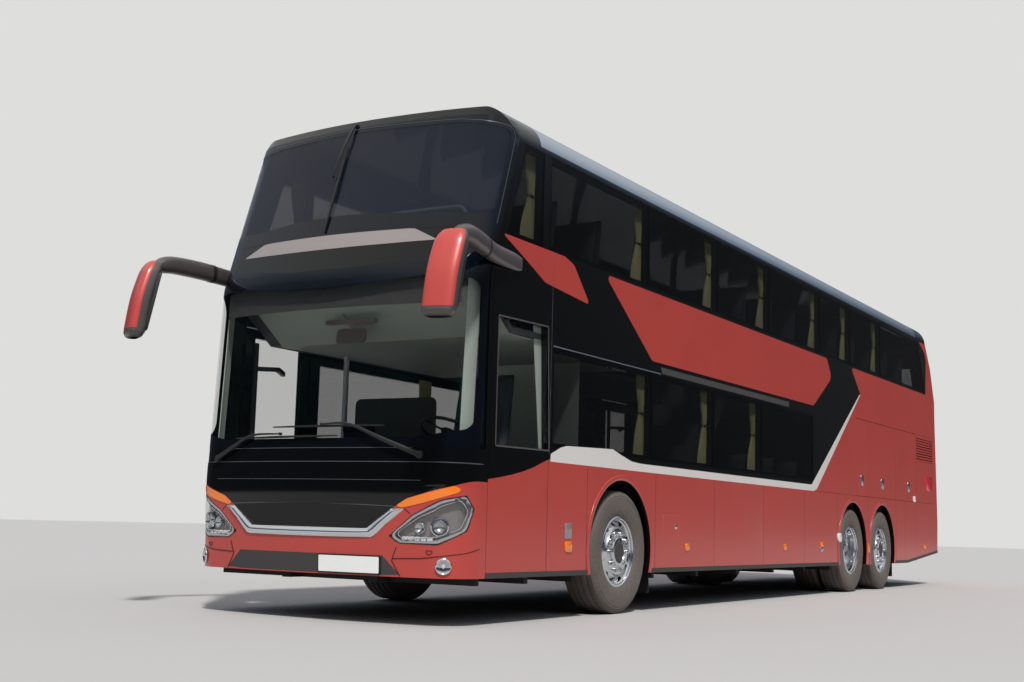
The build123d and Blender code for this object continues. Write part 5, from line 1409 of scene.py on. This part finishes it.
# Sections of the two hoods on the dashboard, as way ahead and height.
HOOD_LINE = [(-0.10, 1.262), (-0.10, 1.300), (-0.06, 1.345), (0.03, 1.352), (0.11, 1.300), (0.13, 1.262)]
SIDE_HOOD_LINE = [(-0.05, 1.262), (-0.04, 1.31), (0.05, 1.30), (0.07, 1.262)]
BULKHEAD_X = FRONT_X - 2.030


def face_plate(y0, y1, z0, z1, x, lean, thick, radius):
    """A rounded plate facing back, its face at x at the foot and leaning back by its way per metre of height."""
    flat, triangles = cut_one(rounded(band(y0, y1, z0, z1), radius, 4))
    top = np.stack([x - lean * (flat[:, 1] - z0) - thick, flat[:, 0], flat[:, 1]], axis=-1)
    return plate(top, top + [thick, 0, 0], triangles)


def hood(line, x, y, width, edge, count):
    """A hood with the section line across the dashboard, its middle at x and y."""
    points, faces = pillow([(x + a, z) for a, z in line], width, edge, 0.0, count=count)
    return points + [0, y, 0], faces


class ADD_OT_coach_cab(bpy.types.Operator):
    """Driver's place: steering wheel, hoods, screens, keys, inside mirror, sun blind, pole and linings"""

    bl_idname = "coach.cab"
    bl_label = "Driver's place"

    def execute(self, context):
        c, s = math.cos(WHEEL_TILT), math.sin(WHEEL_TILT)
        axis, across, over = np.array([-s, 0, c]), np.array([0, 1.0, 0]), np.array([c, 0, s])

        def placed(points):
            return WHEEL_MIDDLE + points[:, 0:1] * over + points[:, 1:2] * across + points[:, 2:3] * axis

        ring = np.column_stack([circle(RIM_R, 64), np.full(64, 0.014)])
        shapes = [carried(circle(0.0138, 14), placed(ring), closed=True, up=axis)]
        points, faces = turned(BOSS, 40, (0, 0, 0), axis="z")
        shapes.append((placed(points), faces))
        for spoke in (90, 210, 330):
            c, s = math.cos(math.radians(spoke)), math.sin(math.radians(spoke))
            line = np.array([(0.045, 0.013), (0.10, 0.008), (0.16, 0.010), (0.214, 0.014)])
            path = placed(np.stack([line[:, 0] * c, line[:, 0] * s, line[:, 1]], axis=-1))
            shapes.append(carried(circle(0.0135, 12) * [1.0, 0.5], path, up=axis))
        wheel = "steering_wheel"
        build("steering_wheel_rim", *joined(shapes), "black moulded polypropylene", wheel, [wheel])
        hoods = [hood(HOOD_LINE, FRONT_X - 0.555, 0.650, 0.56, 0.03, 48)]
        hoods.append(hood(SIDE_HOOD_LINE, FRONT_X - 0.52, 0.02, 0.5, 0.02, 32))
        hoods.append(face_plate(-1.15, -0.25, 0.45, 1.85, BULKHEAD_X, 0.0, 0.015, 0.06))
        build("instrument_hood", *joined(hoods), "dark grey moulded polypropylene")
        screens = [face_plate(0.48, 0.82, 1.268, 1.335, FRONT_X - 0.652, -0.55, 0.006, 0.015)]
        screens.append(face_plate(-0.13, 0.17, 1.325, 1.480, FRONT_X - 0.600, -0.20, 0.018, 0.012))
        screens.append(face_plate(0.20, 0.36, 1.290, 1.375, FRONT_X - 0.600, -0.20, 0.010, 0.008))
        build("cab_screens", *joined(screens), "black ceramic frit")
        keys = []
        for z in (1.12, 1.17):
            x = FRONT_X - 0.670 + 0.19 * (z - 1.12)
            for k in range(15):
                y = -0.12 + 0.036 * k + (0.42 if k > 7 else 0)
                keys.append(face_plate(y, y + 0.030, z, z + 0.036, x, -0.19, 0.004, 0.004))
        build("cab_keys", *joined(keys), "taupe moulded polycarbonate")
        inside = [face_plate(-0.265, 0.025, 2.140, 2.265, FRONT_X - 0.60, 0.15, 0.022, 0.035)]
        inside.append(face_plate(-0.345, 0.150, 2.290, 2.330, FRONT_X - 0.56, 0.0, 0.045, 0.012))
        stalk = [(FRONT_X - b, -0.12, z) for b, z in ((0.60, 2.25), (0.585, 2.30), (0.50, 2.36))]
        stalk = curve_through(stalk, 10)
        inside.append(carried(circle(0.009, 10), stalk, up=(0, 1, 0)))
        build("inside_mirror", *joined(inside), "taupe metallic lacquer")
        blind = front_sheets([rounded(band(-1.22, 1.22, 2.345, 2.540), 0.02)], -0.055, 0.004)
        build("sun_blind", *blind, "dark grey moulded polypropylene")
        build("cab_pole", *upright_bar(FRONT_X - 1.62, -0.95, 0.40, 2.19, 0.042, 0.042), "pale powder-coated tube")
        linings = []
        for side in (1, -1):
            post = band(*sorted((side * 1.27, side * 1.41)), 1.30, 2.56)
            linings.append(front_sheet(*cut_one(post, [((side * 1.34, 1.29), (side * 1.34, 2.57))]), -0.055, 0.008))
            if side > 0:
                behind = [(1.37, 1.27), (1.40, 1.27), (1.40, 2.36), (1.22, 2.36)]
                for outline in (band(0.50, 0.585, 1.27, 2.36), behind):
                    linings.append(side_sheet(*cut_one(outline), side, -0.062, 0.006))
        # Ceiling under the upper deck: level, then rising ahead of the toe line.
        b, y = np.meshgrid([3.35, 0.9, 0.47], [-1.08, 1.19], indexing="ij")
        z = 2.197 + 0.7111 * np.clip(0.9 - b, 0, None)
        ceiling = np.stack([FRONT_X - b, y, z], axis=-1)
        linings.append(grid_plate(ceiling, ceiling - [0, 0, 0.008]))
        linings.append(box_shape((BULKHEAD_X, 0.25, 0.80), (BULKHEAD_X + 0.015, 1.20, 2.10)))
        build("cab_linings", *joined(linings), "pale green moulded lining")
        return {"FINISHED"}


def on_rear(y, z, lift=0.0):
    """Points on the rear skin from the way across and the height: flat across, with the corner arc at each
    side, and moved ahead with height by the rear's form. lift goes outwards along the plan's normal."""
    y, z = np.broadcast_arrays(np.asarray(y, float), np.asarray(z, float))
    over = np.clip((np.abs(y) - (SIDE_Y - REAR_CORNER_R)) / REAR_CORNER_R, 0, 1)
    c = np.sqrt(1 - over**2)
    x = REAR_X + np.interp(z, FORM_Z, FORM_REAR) + REAR_CORNER_R * (1 - c)
    return np.stack([x - lift * c, y + lift * over * np.sign(y), z], axis=-1)


def rear_sheets(outlines, lift, thick, inner=()):
    """A sheet on the rear from outlines of ways across and heights, with inner outlines left out."""
    every = np.concatenate([np.asarray(o, float) for o in outlines])
    (y0, z0), (y1, z1) = every.min(axis=0), every.max(axis=0)
    lines = [((y, z0 - 0.01), (y, z1 + 0.01)) for y in np.arange(-1.26, 1.27, 0.03) if y0 < y < y1]
    lines += [((y0 - 0.01, z), (y1 + 0.01, z)) for z in FORM_Z if z0 < z < z1]
    flat, triangles = cut_flat([("sheet", outlines), ("hole", list(inner))], lines)["sheet"]
    top, bottom = (on_rear(flat[:, 0], flat[:, 1], out) for out in (lift, lift - thick))
    return plate(top, bottom, triangles)


def lamp_dome(side, z, radii, lifts):
    """Rings about a lamp's place on the rear skin, each lifted off it, so the form follows the corner."""
    angle = 2 * math.pi * np.arange(40)[None, :] / 40
    r, lift = np.asarray(radii)[:, None], np.asarray(lifts)[:, None]
    return lofted(on_rear(side * (REAR_LAMP_Y + r * np.cos(angle)), z + r * np.sin(angle), lift))


# Rear lamps from the top: height and colour. Then the radii and lifts of a lamp's chrome ring and of its lens.
REAR_LAMPS = ((1.630, "red"), (1.500, "amber"), (1.370, "red"), (1.240, "white"), (1.110, "red"))
REAR_LAMP_Y = 1.160
LAMP_RING = ((0.058, 0.058, 0.054, 0.050, 0.050), (-0.002, 0.003, 0.005, 0.003, -0.002))
LAMP_LENS = ((0.048, 0.048, 0.040, 0.028, 0.014, 0.002), (-0.002, 0.003, 0.0055, 0.0065, 0.0072, 0.0074))


class ADD_OT_coach_rear(bpy.types.Operator):
    """Rear: black window panel, shut lines of painted shade, lamps, reflectors, lid louvres and handle, bumper strip
    and plate
    """

    bl_idname = "coach.rear"
    bl_label = "Rear"

    def execute(self, context):
        window = rounded(band(-0.980, 0.980, 2.760, 3.420), 0.05)
        panel = rounded(band(-1.10, 1.10, 2.640, 3.560), 0.10)
        dark = [rear_sheets([panel], 0.0022, 0.0018, [window])]
        dark.append(rear_sheets([rounded(band(-0.80, 0.80, 1.855, 2.02), 0.02)], 0.0030, 0.0026))
        build("rear_window_panel", *joined(dark), "piano black acrylic", smooth=20)
        # Dark lines of painted shade for the gaps round the rear's panels.
        lines = []
        for z in (2.30, 0.735):
            lines.append(rear_sheets([band(-1.26, 1.26, z - 0.0025, z + 0.0025)], 0.0014, 0.0012))
        for y in (-1.0, 1.0):
            lines.append(rear_sheets([band(y - 0.0025, y + 0.0025, 1.84, 2.30)], 0.0014, 0.0012))
        build("rear_shut_lines", *joined(lines), "shut line rubber")
        low = rear_sheets([rounded(band(-1.24, 1.24, 0.478, 0.560), 0.015)], 0.004, 0.004)
        build("rear_bumper_strip", *low, "dark grey moulded polypropylene")
        rings, lenses = [], {"red": [], "amber": [], "white": []}
        for side in (1, -1):
            for z, colour in REAR_LAMPS:
                rings.append(lamp_dome(side, z, *LAMP_RING))
                lenses[colour].append(lamp_dome(side, z, *LAMP_LENS))
            reflector = band(*sorted((side * 0.86, side * 1.05)), 0.60, 0.64)
            lenses["red"].append(rear_sheets([rounded(reflector, 0.01)], 0.004, 0.004))
        lenses["red"].append(rear_sheets([rounded(band(-0.28, 0.28, 3.47, 3.50), 0.01)], 0.006, 0.005))
        build("rear_lamp_rings", *joined(rings), "chrome plating")
        for colour, theirs in lenses.items():
            build(f"rear_{colour}_lenses", *joined(theirs), f"{colour} polycarbonate")
        louvres, high = [], 0.040
        for k in range(9):
            z = 1.13 + 0.060 * k
            points, faces = rear_sheets([rounded(band(-0.68, 0.68, z, z + high), 0.012)], 0.0, 0.003)
            points[:, 0] -= 0.007 * np.clip((z + high - points[:, 2]) / high, 0, 1) + 0.001
            louvres.append((points, faces))
        build("lid_louvres", *joined(louvres), "black moulded polypropylene", body="engine_lid")
        hold = rear_sheets([rounded(band(-0.09, 0.09, 0.800, 0.850), 0.02)], 0.007, 0.007)
        build("lid_handle", *hold, "black moulded polypropylene", body="engine_lid")
        plate_back = rear_sheets([rounded(band(-0.27, 0.27, 0.600, 0.725), 0.01)], 0.008, 0.008)
        build("rear_plate_holder", *plate_back, "black moulded polypropylene")
        blank = rear_sheets([rounded(band(-0.26, 0.26, 0.606, 0.718), 0.008)], 0.0105, 0.002)
        build("rear_blank_plate", *blank, "blank plate lacquer")
        return {"FINISHED"}


def roof_height(y):
    """Height of the roof's skin over a distance from the centre line: the crown arc, then the eaves arc."""
    far = np.abs(np.asarray(y, float))
    crown = HEIGHT - CROWN_R + np.sqrt(np.clip(CROWN_R**2 - far**2, 0, None))
    eaves = EAVES_Z + np.sqrt(np.clip(EAVES_R**2 - np.clip(far - EAVES_Y, 0, EAVES_R) ** 2, 0, None))
    return np.where(far < EAVES_Y + EAVES_R * math.sin(CROWN_TURN), crown, eaves)


class ADD_OT_coach_roof_lines(bpy.types.Operator):
    """Roof: sealed joints between its sheets, each a low bead on the crowned skin"""

    bl_idname = "coach.roof_lines"
    bl_label = "Roof joints"

    def execute(self, context):
        beads = []
        section = np.array([(-0.010, -0.001), (0.010, -0.001), (0.006, 0.0016), (-0.006, 0.0016)])
        for side in (1, -1):
            for y in (0.36, 0.98):
                xs = np.linspace(FRONT_X - 0.95, REAR_X + 1.20, 30)
                path = np.stack([xs, np.full(30, side * y), np.full(30, roof_height(y))], axis=-1)
                beads.append(carried(section, path))
            for b in (2.3, 4.1, 5.9, 7.7, 9.5, 11.3):
                ys = side * np.linspace(0.36, 1.14, 24)
                beads.append(carried(section, np.stack([np.full(24, FRONT_X - b), ys, roof_height(ys)], axis=-1)))
        build("roof_joints", *joined(beads), "black moulded polypropylene")
        return {"FINISHED"}


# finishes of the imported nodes
NODE_FINISHES = {
    "coral red metallic lacquer": ["rear_wall", "front_bumper", "flap_", "engine_lid"],
    "piano black acrylic": ["front_mask", "roof", "side_wall", "door_"],
    "privacy glass": ["side_glass", "rear_window", "door_glass"],
    "laminated windscreen glass": ["windscreens", "door_glass_front"],
    "chrome plating": ["chrome_bar"],
    "anodised aluminium": ["roof_trim"],
    "polished forged aluminium": ["rim_"],
    "tyre rubber": ["tyre_"],
    "clear polycarbonate": ["headlamps"],
    "red polycarbonate": ["tail_lamps"],
    "dark grey moulded polypropylene": ["bumper_grille", "mirrors"],
    "black moulded polypropylene": ["wipers", "dashboard", "steering_wheel", "door_arm"],
    "black underbody coat": ["chassis_frame", "axles", "wheel_boxes", "knuckle"],
    "floor covering": ["lower_floor", "upper_floor", "stairs"],
    "seat plush": ["seats"],
    "beige curtain weave": ["curtains"],
    "pale powder-coated tube": ["guard_rail"],
    "cast iron": ["engine"],
}


class ADD_OT_coach_finishes(bpy.types.Operator):
    """Materials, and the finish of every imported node"""

    bl_idname = "coach.finishes"
    bl_label = "Finishes"

    def execute(self, context):
        colours = context.scene.coach_colours
        for name, code, *rest, slot in FINISHES:
            colour = getattr(colours, OWN_COLOURS[name]) if name in OWN_COLOURS else linear(code)
            MATERIALS[name] = finish_material(name, list(colour), *rest)
        chosen = {}
        for look, starts in NODE_FINISHES.items():
            for start in starts:
                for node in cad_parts:
                    if node.startswith(start) and len(start) > len(chosen.get(node, ("", ""))[1]):
                        chosen[node] = (look, start)
        for node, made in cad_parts.items():
            made.data.materials.clear()
            made.data.materials.append(MATERIALS[chosen[node][0]])
        # The upper windscreen is tinted darker than the lower one: its faces take the second finish.
        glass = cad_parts["windscreens"].data
        glass.materials.append(MATERIALS["tinted windscreen glass"])
        heights = np.zeros(3 * len(glass.polygons))
        glass.polygons.foreach_get("center", heights)
        glass.polygons.foreach_set("material_index", (heights[2::3] > 2.85).astype(np.int32))
        return {"FINISHED"}


# stage
# The camera, solved from the photograph: its place, and its azimuth, elevation and roll in degrees.
CAMERA_PLACE = (14.479, 6.482, 0.738)
CAMERA_TURNS = (31.33, -7.85, 1.58)
# Width of its sensor in mm, and the focal length and the width of the photograph in pixels.
SENSOR_MM = 36.0
FOCAL_PIXELS = 1331.5
PICTURE_WIDTH = 1024
SUN_WAY = (-0.43, -0.37, -0.82)


class ADD_OT_coach_stage(bpy.types.Operator):
    """Pale floor, soft lamps and the camera at the photograph's angle"""

    bl_idname = "coach.stage"
    bl_label = "Stage"

    def execute(self, context):
        scene = context.scene
        reach = scene.coach_sizes.floor_reach
        corners = [(-reach, -reach, 0), (reach, -reach, 0), (reach, reach, 0), (-reach, reach, 0)]
        mesh = bpy.data.meshes.new("floor")
        mesh.from_pydata(corners, [], [(0, 1, 2, 3)])
        floor = bpy.data.objects.new("floor", mesh)
        scene.collection.objects.link(floor)
        floor_look = bpy.data.materials.new("pale studio floor")
        floor_look.use_nodes = True
        shader = floor_look.node_tree.nodes["Principled BSDF"]
        shader.inputs["Base Color"].default_value = linear("#A9A5A1")
        shader.inputs["Roughness"].default_value = 0.9
        mesh.materials.append(floor_look)
        # Sky: dark low down as trees and houses are, paler above; the camera and glass see it near white.
        world = bpy.data.worlds.new("studio air")
        scene.world = world
        world.use_nodes = True
        tree = world.node_tree
        air = tree.nodes["Background"]
        rays = add_node(tree, "ShaderNodeLightPath")
        either = {0: rays.outputs["Is Camera Ray"], 1: rays.outputs["Is Transmission Ray"]}
        seen = add_node(tree, "ShaderNodeMath", either, operation="MAXIMUM")
        place = add_node(tree, "ShaderNodeTexCoord")
        split = add_node(tree, "ShaderNodeSeparateXYZ", {"Vector": place.outputs["Generated"]})
        # Polished surfaces see the same white above the dark line of trees.
        clear = add_node(tree, "ShaderNodeMapRange", {"Value": split.outputs["Z"]}, From_Min=0.35, From_Max=0.60)
        both = {0: rays.outputs["Is Glossy Ray"], 1: clear.outputs["Result"]}
        above = add_node(tree, "ShaderNodeMath", both, operation="MULTIPLY")
        either = {0: seen.outputs["Value"], 1: above.outputs["Value"]}
        seen = add_node(tree, "ShaderNodeMath", either, operation="MAXIMUM")
        ramp = add_node(tree, "ShaderNodeValToRGB", {"Fac": split.outputs["Z"]})
        for stop, spot, code in zip(ramp.color_ramp.elements, (0.0, 1.0), ("#3A3B3D", "#EDF2F9")):
            stop.position, stop.color = spot, linear(code)
        for spot, code in ((0.22, "#45484C"), (0.40, "#93A1B4"), (0.62, "#C6D1E0")):
            ramp.color_ramp.elements.new(spot).color = linear(code)
        white = add_node(tree, "ShaderNodeBackground", Color=linear("#DEDEDC"), Strength=1.0)
        tree.links.new(ramp.outputs["Color"], air.inputs["Color"])
        air.inputs["Strength"].default_value = 1.0
        choice = {0: seen.outputs["Value"], 1: air.outputs["Background"], 2: white.outputs["Background"]}
        mix = add_node(tree, "ShaderNodeMixShader", choice)
        tree.links.new(mix.outputs["Shader"], tree.nodes["World Output"].inputs["Surface"])
        # Sun: high on the driver's side, ahead of the coach, as wide as a thin haze makes it.
        light = bpy.data.lights.new("sun", "SUN")
        light.energy = 3.6
        light.angle = math.radians(4)
        sun = bpy.data.objects.new("sun", light)
        scene.collection.objects.link(sun)
        sun.rotation_euler = Vector(SUN_WAY).to_track_quat("-Z", "Y").to_euler()
        azimuth, height, roll = (math.radians(a) for a in CAMERA_TURNS)
        level = math.cos(height)
        back = Vector((math.cos(azimuth) * level, math.sin(azimuth) * level, math.sin(height)))
        right = Vector((0, 0, 1)).cross(back).normalized()
        up = back.cross(right)
        c, s = math.cos(roll), math.sin(roll)
        turned_right, turned_up = c * right + s * up, c * up - s * right
        lens = bpy.data.cameras.new("camera")
        lens.sensor_width = SENSOR_MM
        lens.lens = SENSOR_MM * FOCAL_PIXELS / PICTURE_WIDTH
        lens.clip_end = 400.0
        camera = bpy.data.objects.new("camera", lens)
        scene.collection.objects.link(camera)
        turns = Matrix((turned_right, turned_up, back)).transposed().to_4x4()
        camera.matrix_world = Matrix.Translation(CAMERA_PLACE) @ turns
        scene.camera = camera
        scene.view_settings.view_transform = "Standard"
        return {"FINISHED"}


OPERATORS = (
    ADD_OT_coach_finishes,
    ADD_OT_coach_sides,
    ADD_OT_coach_flaps,
    ADD_OT_coach_side_fittings,
    ADD_OT_coach_side_windows,
    ADD_OT_coach_vents_and_sills,
    ADD_OT_coach_tyres,
    ADD_OT_coach_wheels,
    ADD_OT_coach_mirrors,
    ADD_OT_coach_front_trim,
    ADD_OT_coach_chrome_bar,
    ADD_OT_coach_front_lamps,
    ADD_OT_coach_wipers,
    ADD_OT_coach_seats,
    ADD_OT_coach_curtains,
    ADD_OT_coach_cab,
    ADD_OT_coach_rear,
    ADD_OT_coach_roof_lines,
    ADD_OT_coach_stage,
)


class VIEW3D_PT_coach(bpy.types.Panel):
    """Lists the coach's pieces"""

    bl_label = "Touring coach"
    bl_idname = "VIEW3D_PT_coach"
    bl_space_type = "VIEW_3D"
    bl_region_type = "UI"
    bl_category = "Coach"

    def draw(self, context):
        for group in (context.scene.coach_colours, context.scene.coach_sizes):
            for name in group.bl_rna.properties.keys():
                if name not in ("rna_type", "name"):
                    self.layout.prop(group, name)
        for operator in OPERATORS:
            self.layout.operator(operator.bl_idname)


def register():
    for made in (CoachColours, CoachSizes, *OPERATORS, VIEW3D_PT_coach):
        bpy.utils.register_class(made)
    bpy.types.Scene.coach_colours = bpy.props.PointerProperty(type=CoachColours)
    bpy.types.Scene.coach_sizes = bpy.props.PointerProperty(type=CoachSizes)


def unregister():
    del bpy.types.Scene.coach_colours
    del bpy.types.Scene.coach_sizes
    for made in reversed((CoachColours, CoachSizes, *OPERATORS, VIEW3D_PT_coach)):
        bpy.utils.unregister_class(made)


def main():
    register()
    for operator in OPERATORS:
        group, name = operator.bl_idname.split(".")
        getattr(getattr(bpy.ops, group), name)()


if __name__ == "__main__":
    main()
